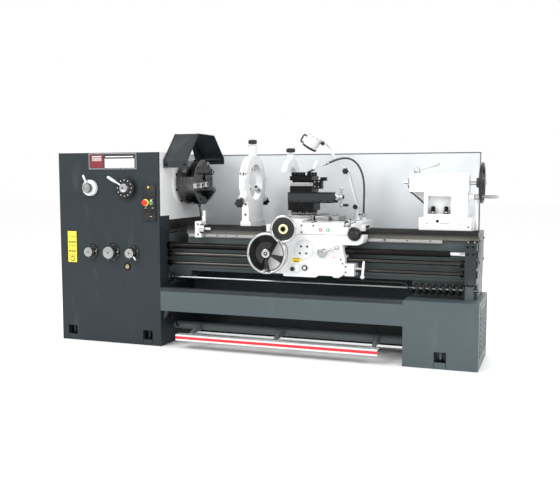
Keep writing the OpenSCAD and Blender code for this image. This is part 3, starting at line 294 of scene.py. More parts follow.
@dataclass(frozen=True)
class WayEnamel(Enamel):
    """Bed enamel with ground ways: dark on top, brighter towards the bottom of their front faces."""

    way_height: float = 0.812
    steel: Color = (0.012, 0.0118, 0.0115)
    bright: Color = (0.20, 0.19, 0.17)

    def build(self) -> bpy.types.Material:
        """Return enamel with bright steel where the ways are ground."""
        shader = self.paint()
        high = shader.math("GREATER_THAN", shader.along("Z"), self.way_height - 0.047)
        bare = high
        streak = shader.span(shader.noise(60.0, 5.0, (0.03, 1, 1)), 0.3, 0.7, 0.6, 1.15)
        tone = shader.add("ShaderNodeHueSaturation")
        lower = shader.span(shader.along("Z"), self.way_height - 0.016, self.way_height - 0.044)
        shader.join(shader.mix(lower, self.steel, self.bright), tone.inputs["Color"])
        shader.join(streak, tone.inputs["Value"])
        shader.set(
            Base_Color=shader.mix(bare, shader.color, tone.outputs[0]),
            Metallic=shader.math("MULTIPLY", bare, lower),
            Roughness=shader.math("SUBTRACT", shader.rough, shader.math("MULTIPLY", bare, 0.08)),
        )
        return shader.material


@dataclass(frozen=True)
class PedalPaint(Enamel):
    """Pedal with a red band between two pale ones in front and a ribbed bright tread."""

    band_low: float = 0.071
    band_high: float = 0.090
    front: float = -0.335
    tread: float = 0.0985

    def build(self) -> bpy.types.Material:
        """Return enamel with the bands and the tread laid over it."""
        shader = self.paint()
        height = shader.along("Z")
        pedal = shader.math("LESS_THAN", shader.along("Y"), -0.275)
        inside = shader.math(
            "MULTIPLY",
            shader.math("GREATER_THAN", height, self.band_low),
            shader.math("LESS_THAN", height, self.band_high),
        )
        stripes = shader.mix(inside, (0.72, 0.71, 0.70), (0.62, 0.035, 0.05))
        tread = shader.math("GREATER_THAN", height, self.tread)
        bright = shader.mix(tread, stripes, (0.62, 0.63, 0.64))
        low = shader.math("LESS_THAN", height, 0.1035)
        mask = shader.math("MULTIPLY", pedal, low)
        shader.set(Base_Color=shader.mix(mask, shader.color, bright))
        return shader.material


@dataclass(frozen=True)
class Metal:
    """Bare metal with fine tool marks, a thin film of oil and darker handling stains."""

    name: str
    color: Color
    roughness: float = 0.3
    stain: Color = (0.10, 0.09, 0.075)
    stained: float = 0.3
    marks: Point = (1, 1, 1)
    mark_scale: float = 700.0
    relief: float = 0.06
    edge: float = 0.0008

    def build(self) -> bpy.types.Material:
        """Return the finished material."""
        shader = Shader(self.name)
        dirt = shader.span(shader.noise(11.0, 9.0), 0.52, 0.78)
        color = shader.mix(shader.math("MULTIPLY", dirt, self.stained), self.color, self.stain)
        rough = shader.span(
            shader.noise(55.0, 7.0, self.marks), 0.3, 0.7, self.roughness - 0.07, self.roughness + 0.11
        )
        shader.set(Base_Color=color, Roughness=rough)
        shader.surface.inputs["Metallic"].default_value = 1.0
        shader.bump(shader.noise(self.mark_scale, 2.0, self.marks), self.relief, 0.0002, self.edge)
        return shader.material


@dataclass(frozen=True)
class Plastic:
    """Moulded plastic or rubber with a fine grain and a little dust."""

    name: str
    color: Color
    roughness: float = 0.42
    grain: float = 900.0
    relief: float = 0.08
    edge: float = 0.0008
    dusty: float = 0.12

    def build(self) -> bpy.types.Material:
        """Return the finished material."""
        shader = Shader(self.name)
        dust = shader.math("MULTIPLY", shader.span(shader.noise(16.0, 6.0), 0.5, 0.8), self.dusty)
        shader.surface.inputs["Specular IOR Level"].default_value = 0.4
        pale = tuple(0.7 * c + 0.12 for c in self.color)
        shader.set(
            Base_Color=shader.mix(dust, self.color, pale),
            Roughness=shader.span(shader.noise(40.0), 0.3, 0.7, self.roughness - 0.05, self.roughness + 0.1),
        )
        shader.bump(shader.noise(self.grain, 2.0), self.relief, 0.0002, self.edge)
        return shader.material


@dataclass(frozen=True)
class Glass:
    """Clear or tinted lens glass."""

    name: str
    color: Color
    roughness: float = 0.05

    def build(self) -> bpy.types.Material:
        """Return the finished material."""
        shader = Shader(self.name)
        cloud = shader.span(shader.noise(30.0), 0.4, 0.7, 0.0, 0.08)
        shader.set(Base_Color=shader.mix(cloud, self.color, (0.8, 0.8, 0.8)))
        shader.surface.inputs["Roughness"].default_value = self.roughness
        shader.surface.inputs["Coat Weight"].default_value = 0.6
        shader.surface.inputs["Transmission Weight"].default_value = 0.25
        return shader.material


@dataclass(frozen=True)
class Floor:
    """Pale studio floor."""

    name: str = "studio_floor"
    color: Color = (0.985, 0.985, 0.985)

    def build(self) -> bpy.types.Material:
        """Return the finished material."""
        shader = Shader(self.name)
        shader.set(Base_Color=shader.mix(shader.noise(3.0), self.color, (0.97, 0.97, 0.97)))
        shader.surface.inputs["Roughness"].default_value = 0.55
        return shader.material


class Finish(Enum):
    """Every finish on the machine."""

    SLATE = Enamel("slate_enamel", (0.0175, 0.024, 0.028), worn=(0.12, 0.13, 0.135))
    GREY = Enamel("blue_grey_enamel", (0.066, 0.086, 0.094), worn=(0.16, 0.17, 0.175))
    BED = WayEnamel("bed_enamel", (0.066, 0.080, 0.083), worn=(0.06, 0.063, 0.062))
    IRON = Casting("slate_casting", (0.020, 0.025, 0.028), worn=(0.1, 0.11, 0.115))
    WHITE = Enamel("white_enamel", (0.70, 0.715, 0.73), worn=(0.45, 0.45, 0.45), wear=0.12)
    SPLASH = SoftEnamel("splash_enamel", (0.66, 0.685, 0.70), worn=(0.45, 0.45, 0.45), wear=0.1)
    WHITE_CASTING = Casting("white_casting", (0.71, 0.715, 0.72), worn=(0.42, 0.42, 0.41), wear=0.18)
    PEDAL = PedalPaint("pedal_enamel", (0.10, 0.115, 0.12), worn=(0.2, 0.2, 0.2))
    STEEL = Metal("ground_steel", (0.40, 0.405, 0.40), 0.28, marks=(0.06, 1, 1))
    OILED = Metal("oiled_steel", (0.022, 0.021, 0.020), 0.32, stain=(0.05, 0.045, 0.035), stained=0.5, marks=(0.05, 1, 1))
    ROD = Metal("drawn_steel", (0.052, 0.05, 0.045), 0.24, stained=0.45, marks=(0.05, 1, 1))
    CHROME = Metal("chrome_plate", (0.50, 0.505, 0.515), 0.12, stained=0.06, relief=0.015)
    BAR = Metal("guide_bar_chrome", (0.23, 0.232, 0.235), 0.22, stained=0.25, marks=(0.05, 1, 1))
    BLACK_STEEL = Metal("black_oxide", (0.014, 0.014, 0.015), 0.36, stain=(0.05, 0.045, 0.04), stained=0.35)
    CHUCK = Metal("oiled_chuck_iron", (0.10, 0.10, 0.102), 0.2, stain=(0.03, 0.03, 0.03), stained=0.25, marks=(1, 0.1, 0.1))
    BRASS = Metal("brass", (0.72, 0.53, 0.24), 0.3)
    BLACK = Plastic("black_plastic", (0.005, 0.005, 0.0055), 0.34, dusty=0.03)
    MAROON = Plastic("plate_maroon", (0.16, 0.012, 0.018))
    PANEL = Plastic("panel_black", (0.005, 0.005, 0.006), 0.5, dusty=0.04)
    RUBBER = Plastic("black_rubber", (0.006, 0.006, 0.006), 0.5, relief=0.15, dusty=0.05)
    HOSE = Plastic("hose_grey", (0.045, 0.05, 0.055), 0.45)
    RED = Plastic("red_plastic", (0.62, 0.02, 0.012), 0.3)
    GREEN = Plastic("green_plastic", (0.03, 0.32, 0.08), 0.3)
    YELLOW = Plastic("yellow_label", (0.78, 0.62, 0.05), 0.4)
    CREAM = Plastic("cream_plastic", (0.72, 0.66, 0.38), 0.35)
    PLATE = Plastic("plate_white", (0.75, 0.75, 0.73), 0.35)
    INK = Plastic("plate_ink", (0.02, 0.02, 0.022), 0.4)
    LENS = Glass("lamp_lens", (0.05, 0.05, 0.055))
    SIGHT = Glass("sight_glass", (0.35, 0.28, 0.12))


class Finishes:
    """Builds each finish once, when a piece first asks for it."""

    _made: dict[Finish, bpy.types.Material] = {}

    @classmethod
    def get(cls, finish: Finish) -> bpy.types.Material:
        """Return the material of a finish."""
        if finish not in cls._made:
            cls._made[finish] = finish.value.build()
        return cls._made[finish]


# Mesh work ---------------------------------------------------------------------------


@dataclass(frozen=True)
class Extent:
    """The box that a CAD node fills at rest."""

    low: Vector
    high: Vector

    @classmethod
    def of(cls, node: str) -> "Extent":
        """Return the extent of a CAD node."""
        low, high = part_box(node)
        return cls(low, high)

    @property
    def centre(self) -> Vector:
        """The middle of the box."""
        return (self.low + self.high) / 2

    @property
    def size(self) -> Vector:
        """The box's sides."""
        return self.high - self.low

    def at(self, u: float, v: float, w: float) -> Vector:
        """Return the point at three shares of the box's sides."""
        return Vector(lo + t * s for lo, s, t in zip(self.low, self.size, (u, v, w)))


def frame_on(axis: Vector) -> Matrix:
    """Return a rotation whose Z is the given direction, with its X level where that is possible."""
    z = axis.normalized()
    up = Vector((0, 0, 1)) if abs(z.z) < 0.9 else Vector((0, 1, 0))
    x = up.cross(z).normalized()
    return Matrix((x, z.cross(x), z)).transposed()


class Piece:
    """One visible piece: solids are added to it, and place() puts it on its body."""

    def __init__(self, name: str, finish: Finish) -> None:
        """Start an empty piece in one finish."""
        self.name = name
        self.bm = bmesh.new()
        self.finishes = [finish]
        self.current = 0

    def use(self, finish: Finish) -> "Piece":
        """Give the solids added from here on this finish."""
        if finish not in self.finishes:
            self.finishes.append(finish)
        self.current = self.finishes.index(finish)
        return self

    def face(self, corners: Sequence[bmesh.types.BMVert]) -> None:
        """Add one face in the current finish."""
        made = self.bm.faces.new(corners)
        made.material_index = self.current
        made.smooth = True

    def shell(self, rings: Sequence[Sequence[Vector]], closed: bool = True) -> "Piece":
        """Skin a row of rings, and close its two ends.

        Args:
            rings: rings of the same number of points.
            closed: whether the ends are closed with a face.

        Returns:
            The piece itself.
        """
        rows = [[self.bm.verts.new(p) for p in ring] for ring in rings]
        n = len(rows[0])
        for a, b in zip(rows, rows[1:]):
            for k in range(n):
                self.face((a[k], a[(k + 1) % n], b[(k + 1) % n], b[k]))
        if closed:
            self.face(list(reversed(rows[0])))
            self.face(rows[-1])
        return self

    def lathe(self, base: Point, axis: Vector, profile: Sequence[Point], sides: int = 40) -> "Piece":
        """Turn a profile of (radius, distance along the axis) points round an axis.

        Args:
            base: a point on the axis, where the distance is 0.
            axis: the axis direction.
            profile: the outline, from one end to the other.
            sides: points round a ring.

        Returns:
            The piece itself.
        """
        turn = frame_on(axis)
        rings = [
            [
                Vector(base) + turn @ Vector((r * math.cos(TURN * k / sides), r * math.sin(TURN * k / sides), t))
                for k in range(sides)
            ]
            for r, t in ((max(r, 0.00005), t) for r, t in profile)
        ]
        return self.shell(rings)

    def rod(self, start: Point, end: Point, r: float, r_end: float | None = None, sides: int = 24) -> "Piece":
        """Add a round bar with chamfered ends between two points."""
        a, b = Vector(start), Vector(end)
        far = r if r_end is None else r_end
        length = (b - a).length
        c = min(r, far) * 0.12
        profile = [(r - c, 0), (r, c), (far, length - c), (far - c, length)]
        return self.lathe(a, b - a, profile, sides)

    def ball(self, centre: Point, r: float, squash: float = 1.0, axis: Vector = Axis.Z.value) -> "Piece":
        """Add a ball, or a flattened one, round a point."""
        steps = 12
        profile = [
            (r * math.sin(math.pi * k / steps), -r * squash * math.cos(math.pi * k / steps))
            for k in range(steps + 1)
        ]
        return self.lathe(centre, axis, profile, 24)

    def ring(self, centre: Point, axis: Vector, major: float, minor: float, squash: float = 1.0) -> "Piece":
        """Add a rim of round section."""
        turn = frame_on(axis)
        rows = []
        count, around = 64, 14
        for i in range(count + 1):
            a = TURN * i / count
            row = []
            for k in range(around):
                b = TURN * k / around
                r = major + minor * math.cos(b)
                row.append(
                    Vector(centre)
                    + turn @ Vector((r * math.cos(a), r * math.sin(a), minor * squash * math.sin(b)))
                )
            rows.append(row)
        return self.shell(rows, closed=False)

    def tube(self, route: Sequence[Point], r: float, sides: int = 12, ribs: float = 0.0, taper: float = 1.0) -> "Piece":
        """Sweep a round section along a route.

        Args:
            route: points to follow.
            r: radius.
            sides: points round the section.
            ribs: how far every second ring stands in, for a ribbed hose.
            taper: the radius at the end as a share of r.

        Returns:
            The piece itself.
        """
        points = [Vector(p) for p in route]
        rings = []
        side = None
        for i, p in enumerate(points):
            t = (points[min(i + 1, len(points) - 1)] - points[max(i - 1, 0)]).normalized()
            if side is None:
                side = frame_on(t) @ Vector((1, 0, 0))
            side = (side - t * side.dot(t)).normalized()
            up = t.cross(side)
            now = (r - (ribs if i % 2 else 0)) * (1 + (taper - 1) * i / (len(points) - 1))
            rings.append(
                [
                    p + side * now * math.cos(TURN * k / sides) + up * now * math.sin(TURN * k / sides)
                    for k in range(sides)
                ]
            )
        return self.shell(rings)

    def block(self, low: Point, high: Point) -> "Piece":
        """Add a box between two corners."""
        (a, b, c), (d, e, f) = low, high
        bottom = [Vector(p) for p in ((a, b, c), (d, b, c), (d, e, c), (a, e, c))]
        return self.shell([bottom, [p + Vector((0, 0, f - c)) for p in bottom]])

    def slab(self, outline: Sequence[Point], axis: Axis, low: float, high: float) -> "Piece":
        """Extrude an outline.

        Args:
            outline: corners in (X, Z) for Axis.Y, (Y, Z) for Axis.X or (X, Y) for Axis.Z.
            axis: the direction of extrusion.
            low: where the slab starts on that axis.
            high: where it ends.

        Returns:
            The piece itself.
        """
        place: dict[Axis, Callable[[float, float, float], Vector]] = {
            Axis.X: lambda u, v, t: Vector((t, u, v)),
            Axis.Y: lambda u, v, t: Vector((u, t, v)),
            Axis.Z: lambda u, v, t: Vector((u, v, t)),
        }
        ends = (high, low) if axis is Axis.Y else (low, high)
        return self.shell([[place[axis](u, v, t) for u, v in outline] for t in ends])

    def screw(self, centre: Point, axis: Vector, r: float, height: float) -> "Piece":
        """Add a socket-head screw with its dark hexagon hole."""
        base = Vector(centre)
        head = [(r * 0.9, -height * 0.3), (r, 0), (r, height * 0.8), (r * 0.86, height)]
        well = [(r * 0.5, height), (r * 0.48, height * 0.35)]
        return self.lathe(base, axis, head + well, 18)

    def nut(self, centre: Point, axis: Vector, across: float, height: float) -> "Piece":
        """Add a hexagon nut or bolt head with a washer under it."""
        r = across / math.sqrt(3)
        self.lathe(centre, axis, [(r * 1.25, 0), (r * 1.25, height * 0.14)], 24)
        return self.lathe(
            centre, axis, [(r, height * 0.14), (r, height * 0.9), (r * 0.86, height)], 6
        )

    def star_knob(self, centre: Point, axis: Vector, r: float, height: float, lobes: int = 6) -> "Piece":
        """Add a lobed clamping knob with a crowned top."""
        turn = frame_on(axis)
        count = lobes * 8
        rings = []
        for share, lift in ((0.62, 0.0), (0.96, 0.06), (1.0, 0.3), (1.0, 0.72), (0.9, 0.92), (0.4, 1.0)):
            rings.append(
                [
                    Vector(centre)
                    + turn
                    @ Vector(
                        (
                            r * share * (0.89 + 0.11 * math.cos(lobes * TURN * k / count)) * math.cos(TURN * k / count),
                            r * share * (0.89 + 0.11 * math.cos(lobes * TURN * k / count)) * math.sin(TURN * k / count),
                            height * lift,
                        )
                    )
                    for k in range(count)
                ]
            )
        return self.shell(rings)

    def place(
        self,
        body: str | None,
        replaces: Sequence[str] = (),
        slot: str | None = None,
        bevel: float = 0.0,
        crease: float = 34.0,
    ) -> bpy.types.Object:
        """Make the mesh object and put it on its CAD body.

        Args:
            body: the body it rides on, or None for a piece that rides on no body.
            replaces: CAD nodes that it stands for.
            slot: not used.
            bevel: width of the round along sharp edges, in metres.
            crease: the angle in degrees above which an edge stays sharp.

        Returns:
            The new object.
        """
        bmesh.ops.recalc_face_normals(self.bm, faces=self.bm.faces)
        mesh = bpy.data.meshes.new(self.name)
        self.bm.to_mesh(mesh)
        self.bm.free()
        for finish in self.finishes:
            mesh.materials.append(Finishes.get(finish))
        obj = bpy.data.objects.new(self.name, mesh)
        bpy.context.scene.collection.objects.link(obj)
        if bevel:
            mod = obj.modifiers.new("rounded", "BEVEL")
            mod.width, mod.segments, mod.limit_method = bevel, 2, "ANGLE"
            mod.angle_limit = math.radians(40)
            bpy.context.view_layer.update()
            made = bpy.data.meshes.new_from_object(obj.evaluated_get(bpy.context.evaluated_depsgraph_get()))
            obj.modifiers.clear()
            obj.data = made
            bpy.data.meshes.remove(mesh)
            obj.data.name = self.name
        obj.data.set_sharp_from_angle(angle=math.radians(crease))
        if body:
            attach(obj, body)
        if replaces:
            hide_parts(*replaces)
        log.info("%s: %d faces", self.name, len(obj.data.polygons))
        return obj


def dress(finish: Finish, *nodes: str) -> None:
    """Give CAD nodes a finish."""
    for name in nodes:
        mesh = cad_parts[name].data
        mesh.materials.clear()
        mesh.materials.append(Finishes.get(finish))
        log.info("%s dressed in %s", name, finish.name)


def spindle_line() -> Vector:
    """Return a point on the spindle's axis."""
    return Extent.of("spindle").centre


# Sub-assemblies -----------------------------------------------------------------------


@dataclass
class Stand:
    """Pedestals, tray, brake pedal and the trims on them."""

    cap: float = 8 * MM
    brake_rib: float = 30 * MM

    def build(self) -> None:
        """Dress the stand and add its trims."""
        dress(Finish.SLATE, "left_pedestal", "front_cover", "end_cover")
        dress(Finish.GREY, "right_pedestal", "chip_tray")
        dress(Finish.PEDAL, "foot_brake")
        self.build_tray_lip()
        self.build_pedal_tread()
        self.build_door_trims()
        self.build_toe_panel()
        self.build_feet()

    def build_tray_lip(self) -> None:
        """Round the upper edge of the tray's front panel, with the dark joint under it."""
        tray = Extent.of("chip_tray")
        left, right = Extent.of("left_pedestal").high.x, Extent.of("right_pedestal").low.x
        top = Extent.of("left_pedestal").high.z
        lip = Piece("tray_lip", Finish.SLATE)
        section = [(-0.3, -26), (-0.3, -3), (3, 0), (44, 0), (44, -3), (12, -3), (8, -26)]
        lip.slab([(tray.low.y + y * MM, top + z * MM) for y, z in section], Axis.X, left + MM, right - MM)
        lip.place("machine_frame", slot="slate_paint", bevel=0.6 * MM)

    def build_pedal_tread(self) -> None:
        """Lay the ribbed tread on the pedal."""
        brake = Extent.of("foot_brake")
        top = brake.low.z + 41 * MM
        low, high = brake.low.x + 132 * MM, brake.low.x + 132 * MM + 1380 * MM
        tread = Piece("pedal_tread", Finish.STEEL)
        for i in range(5):
            y = brake.low.y + (8 + 11 * i) * MM
            tread.slab([(y, top), (y + 2 * MM, top + 1.4 * MM), (y + 4 * MM, top)], Axis.X, low, high)
        tread.place("foot_brake", slot="white_paint", bevel=0.2 * MM)

    def build_door_trims(self) -> None:
        """Add the end cover's latch and screws and the right pedestal's frame round its vents."""
        cover = Extent.of("end_cover")
        trims = Piece("end_cover_latches", Finish.STEEL)
        for share in (0.12, 0.5, 0.88):
            trims.screw((cover.low.x, cover.low.y + 24 * MM, cover.at(0, 0, share).z), Axis.LEFT.value, 9 * MM, 5 * MM)
        handle = cover.at(0, 0.14, 0.52)
        trims.use(Finish.BLACK)
        trims.tube(
            [
                handle + Vector((0, 0, -60 * MM)),
                handle + Vector((-6 * MM, 0, -58 * MM)),
                handle + Vector((-7.5 * MM, 0, -40 * MM)),
                handle + Vector((-7.5 * MM, 0, 40 * MM)),
                handle + Vector((-6 * MM, 0, 58 * MM)),
                handle + Vector((0, 0, 60 * MM)),
            ],
            4.5 * MM,
        )
        trims.place("end_cover", slot="bright_steel")
        box = Extent.of("right_pedestal")
        vent = Piece("vent_frame", Finish.GREY)
        y0, y1, z0, z1 = 68 * MM, 68 * MM, 70 * MM, 34 * MM
        inner = [(box.low.y + y0, box.low.z + z0), (box.high.y - y1, box.low.z + z0),
                 (box.high.y - y1, box.high.z - z1), (box.low.y + y0, box.high.z - z1)]
        face = box.high.x - 7 * MM
        for (a, b), (c, d) in zip(inner, inner[1:] + inner[:1]):
            low = (face, min(a, c) - 4 * MM, min(b, d) - 4 * MM)
            vent.block(low, (face + 2 * MM, max(a, c) + 4 * MM, max(b, d) + 4 * MM))
        vent.place("machine_frame", slot="grey_paint", bevel=0.5 * MM)

    def build_toe_panel(self) -> None:
        """Close the toe space behind with a ribbed panel, and add the brake's link at its left."""
        left, right = Extent.of("left_pedestal").high.x, Extent.of("right_pedestal").low.x
        y = Datum.at(0, 504, 0).y
        panel = Piece("toe_panel", Finish.IRON)
        panel.block((left + 0.5 * MM, y, 14 * MM), (right - 0.5 * MM, y + 3 * MM, 262 * MM))
        panel.tube([Vector((left + 2 * MM, y - 1 * MM, 16 * MM)), Vector((right - 2 * MM, y - 1 * MM, 16 * MM))], 3 * MM, 8)
        for i in range(1, 6):
            x = left + (right - left) * i / 6
            panel.block((x - 3 * MM, y - 2.4 * MM, 18 * MM), (x + 3 * MM, y, 258 * MM))
        panel.use(Finish.GREY)
        low = Datum.at(0, 40, 0).y
        panel.slab([(left + 1 * MM, 0.246), (left + 34 * MM, 0.246), (left + 6 * MM, 0.19), (left + 1 * MM, 0.19)], Axis.Y, low, low + 30 * MM)
        panel.use(Finish.BLACK_STEEL)
        panel.rod(Datum.at(812, 84, 236), Datum.at(858, 116, 132), 6 * MM)
        panel.ball(Datum.at(858, 116, 132), 9 * MM)
        panel.place("machine_frame", slot="slate_paint", bevel=0.6 * MM)

    def build_feet(self) -> None:
        """Put a locknut on each levelling screw."""
        feet = Piece("levelling_nuts", Finish.BLACK_STEEL)
        left, right = Extent.of("left_pedestal"), Extent.of("right_pedestal")
        for x in (left.low.x + 84 * MM, left.high.x - 102 * MM, right.low.x + 228 * MM):
            feet.nut((x, left.low.y + 30 * MM, 44.2 * MM), Axis.Z.value, 30 * MM, 12 * MM)
            feet.lathe((x, left.low.y + 30 * MM, 0.2 * MM), Axis.Z.value, [(24 * MM, 0), (24 * MM, 7 * MM), (12 * MM, 12 * MM)])
        feet.place("machine_frame", slot="bright_steel")
        sills = Piece("pocket_sills", Finish.SLATE)
        for x, y in ((left.low.x + 84 * MM, left.low.y), (left.high.x - 102 * MM, left.low.y), (right.low.x + 228 * MM, right.low.y)):
            sills.use(Finish.GREY if x > right.low.x else Finish.SLATE)
            sills.block((x - 34 * MM, y + 0.2 * MM, 0.4 * MM), (x + 34 * MM, y + 4 * MM, 40 * MM))
            sills.block((x - 34 * MM, y + 52 * MM, 40 * MM), (x + 34 * MM, y + 55 * MM, 100 * MM))
        sills.place("machine_frame", slot="slate_paint", bevel=0.6 * MM)


@dataclass
class Headstock:
    """Headstock casting, its front cover's plates, levers, knobs and push buttons."""

    plate_width: float = 376 * MM
    plate_height: float = 109 * MM

    def build(self) -> None:
        """Dress the headstock and build what stands on its front."""
        dress(Finish.WHITE_CASTING, "headstock_casting")
        dress(Finish.STEEL, "spindle_bearings", "spindle", "motor_pulley", "cable_bar")
        dress(Finish.IRON, "main_motor", "rod_bracket")
        dress(Finish.RUBBER, "drive_belts")
        cover = Extent.of("front_cover")
        self.left, self.front, self.top = cover.low.x, cover.low.y, cover.high.z
        self.build_data_plate()
        self.build_label()
        self.build_cap_screws()
        self.build_direction_lever()
        self.build_speed_dial()
        for number, knob_r in ((1, 34), (2, 43), (3, 34)):
            self.build_gear_knob(number, knob_r * MM)
        self.build_panel()
        self.build_buttons()

    def spot(self, x: float, z: float, out: float = 0.0) -> Vector:
        """Return a point on the front cover, in millimetres from its left edge and the floor."""
        return Vector((self.left + x * MM, self.front - out * MM, z * MM))

    def build_data_plate(self) -> None:
        """Add the framed plate with a blank speed chart."""
        x, z = 248 * MM + self.left, self.top - 4 * MM
        w, h, y = self.plate_width, self.plate_height, self.front
        plate = Piece("data_plate", Finish.CHROME)
        rim = 5 * MM
        for low, high in (
            ((x, z - h), (x + w, z - h + rim)),
            ((x, z - rim), (x + w, z)),
            ((x, z - h + rim), (x + rim, z - rim)),
            ((x + w - rim, z - h + rim), (x + w, z - rim)),
        ):
            plate.block((low[0], y - 3 * MM, low[1]), (high[0], y - 0.1 * MM, high[1]))
        plate.use(Finish.INK).block((x + rim, y - 1.4 * MM, z - h + rim), (x + w - rim, y - 0.1 * MM, z - rim))
        chart = (x + 0.34 * w, x + 0.955 * w, z - h + 10 * MM, z - 38 * MM)
        plate.use(Finish.PLATE).block((chart[0], y - 2.0 * MM, chart[2]), (chart[1], y - 1.3 * MM, chart[3]))
        plate.block((x + 0.35 * w, y - 2.0 * MM, z - 27 * MM), (x + 0.93 * w, y - 1.3 * MM, z - 21 * MM))
        plate.use(Finish.MAROON).block((x + 0.03 * w, y - 1.7 * MM, z - h + 9 * MM), (x + 0.31 * w, y - 1.3 * MM, z - 9 * MM))
        plate.use(Finish.PLATE)
        for drop, deep in ((20, 6), (33, 3), (41, 3), (49, 3)):
            bar_top = z - drop * MM
            plate.block((x + 0.07 * w, y - 2.0 * MM, bar_top - deep * MM), (x + 0.27 * w, y - 1.6 * MM, bar_top))
        plate.use(Finish.INK)
        for i in range(1, 9):
            u = chart[0] + (chart[1] - chart[0]) * i / 9
            plate.block((u - 0.5 * MM, y - 2.3 * MM, chart[2]), (u + 0.5 * MM, y - 1.9 * MM, chart[3]))
        for i in range(1, 5):
            v = chart[2] + (chart[3] - chart[2]) * i / 5
            plate.block((chart[0], y - 2.3 * MM, v - 0.5 * MM), (chart[1], y - 1.9 * MM, v + 0.5 * MM))
        plate.use(Finish.STEEL)
        for u in (x + 9 * MM, x + w - 9 * MM):
            for v in (z - h + 8 * MM, z - 8 * MM):
                plate.ball((u, y - 2 * MM, v), 2.6 * MM, 0.7, Axis.Y.value)
        plate.place("machine_frame", slot="bright_steel")

    def build_label(self) -> None:
        """Add the yellow plate with its plain ruled panels."""
        label = Piece("yellow_plate", Finish.YELLOW)
        low, high = self.spot(60, 556), self.spot(131, 774)
        y = self.front
        label.block((low.x, y - 1.0 * MM, low.z), (high.x, y - 0.1 * MM, high.z))
        label.use(Finish.INK)
        for i, z in enumerate((602, 640, 672, 704, 736)):
            for j in range(3):
                a = self.spot(68 + 20 * j, z - 12 * (i % 2))
                label.block((a.x, y - 1.3 * MM, a.z), (a.x + 14 * MM, y - 0.9 * MM, a.z + (5 + 6 * (i % 2)) * MM))
        label.lathe(self.spot(95, 580, 0.9), Axis.FRONT.value, [(18 * MM, 0), (18 * MM, 0.4 * MM)])
        label.use(Finish.YELLOW).lathe(self.spot(95, 580, 1.2), Axis.FRONT.value, [(13 * MM, 0), (13 * MM, 0.3 * MM)])
        label.place("machine_frame", slot="slate_paint")
        sight = Piece("oil_sight", Finish.BLACK_STEEL)
        at = self.spot(539, 540)
        sight.lathe(at, Axis.FRONT.value, [(25 * MM, 0), (25 * MM, 4 * MM), (21 * MM, 6.5 * MM), (17 * MM, 6.5 * MM), (17 * MM, 3 * MM)])
        sight.use(Finish.SIGHT).lathe(at, Axis.FRONT.value, [(17 * MM, 2 * MM), (16 * MM, 4.2 * MM), (2 * MM, 5 * MM)])
        sight.place("machine_frame", slot="bright_steel")

    def build_cap_screws(self) -> None:
        """Put the bearing cap's screws in, and lay a lid on the headstock's top."""
        screws = Piece("headstock_screws", Finish.BLACK_STEEL)
        axis = spindle_line()
        face = Extent.of("headstock_casting").high.x
        for k in range(8):
            a = TURN * (k + 0.5) / 8
            r = 141 * MM
            screws.screw((face, axis.y + r * math.cos(a), axis.z + r * math.sin(a)), Axis.X.value, 8 * MM, 7 * MM)
        screws.place("machine_frame", slot="bright_steel")
        top = Piece("headstock_lid", Finish.WHITE)
        box = Extent.of("headstock_casting")
        top.block((box.low.x + 60 * MM, box.low.y + 40 * MM, box.high.z), (box.high.x - 50 * MM, box.high.y - 40 * MM, box.high.z + 3 * MM))
        top.place("machine_frame", slot="white_paint", bevel=1.5 * MM)

    def lever(self, piece: Piece, centre: Vector, tip: Point, r: float) -> None:
        """Add a tapered lever from a hub to its tip.

        Args:
            piece: the piece to add it to.
            centre: the hub's centre on the cover.
            tip: the tip's offset in millimetres: right, out and up.
            r: the radius at the tip.
        """
        start = centre + Vector((tip[0] * 0.2, -34, tip[2] * 0.2)) * MM
        end = centre + Vector((tip[0], -tip[1], tip[2])) * MM
        length = (end - start).length
        piece.lathe(start, end - start, [(4.5 * MM, 0), (5 * MM, length * 0.35), (r * 0.9, length * 0.5), (r, length * 0.86), (r * 0.7, length)], 20)

    def build_direction_lever(self) -> None:
        """Build the spindle direction lever on its white boss."""
        at = self.spot(257, 1079)
        piece = Piece("direction_lever_parts", Finish.WHITE)
        piece.lathe(at, Axis.FRONT.value, [(56 * MM, 0.4 * MM), (56 * MM, 14 * MM), (53 * MM, 23 * MM), (36 * MM, 26 * MM)], 56)
        piece.use(Finish.STEEL).lathe(at, Axis.FRONT.value, [(34 * MM, 25 * MM), (34 * MM, 52 * MM), (31 * MM, 58 * MM), (2 * MM, 58.5 * MM)], 48)
        piece.use(Finish.STEEL).lathe(at, Axis.FRONT.value, [(15 * MM, 58 * MM), (15 * MM, 61 * MM), (12 * MM, 62 * MM)])
        piece.screw(at + Vector((0, -60 * MM, 0)), Axis.FRONT.value, 6 * MM, 5 * MM)
        piece.use(Finish.WHITE)
        self.lever(piece, at, (-26, 52, 88), 8 * MM)
        piece.place("direction_lever", replaces=["direction_lever"], slot="white_paint")

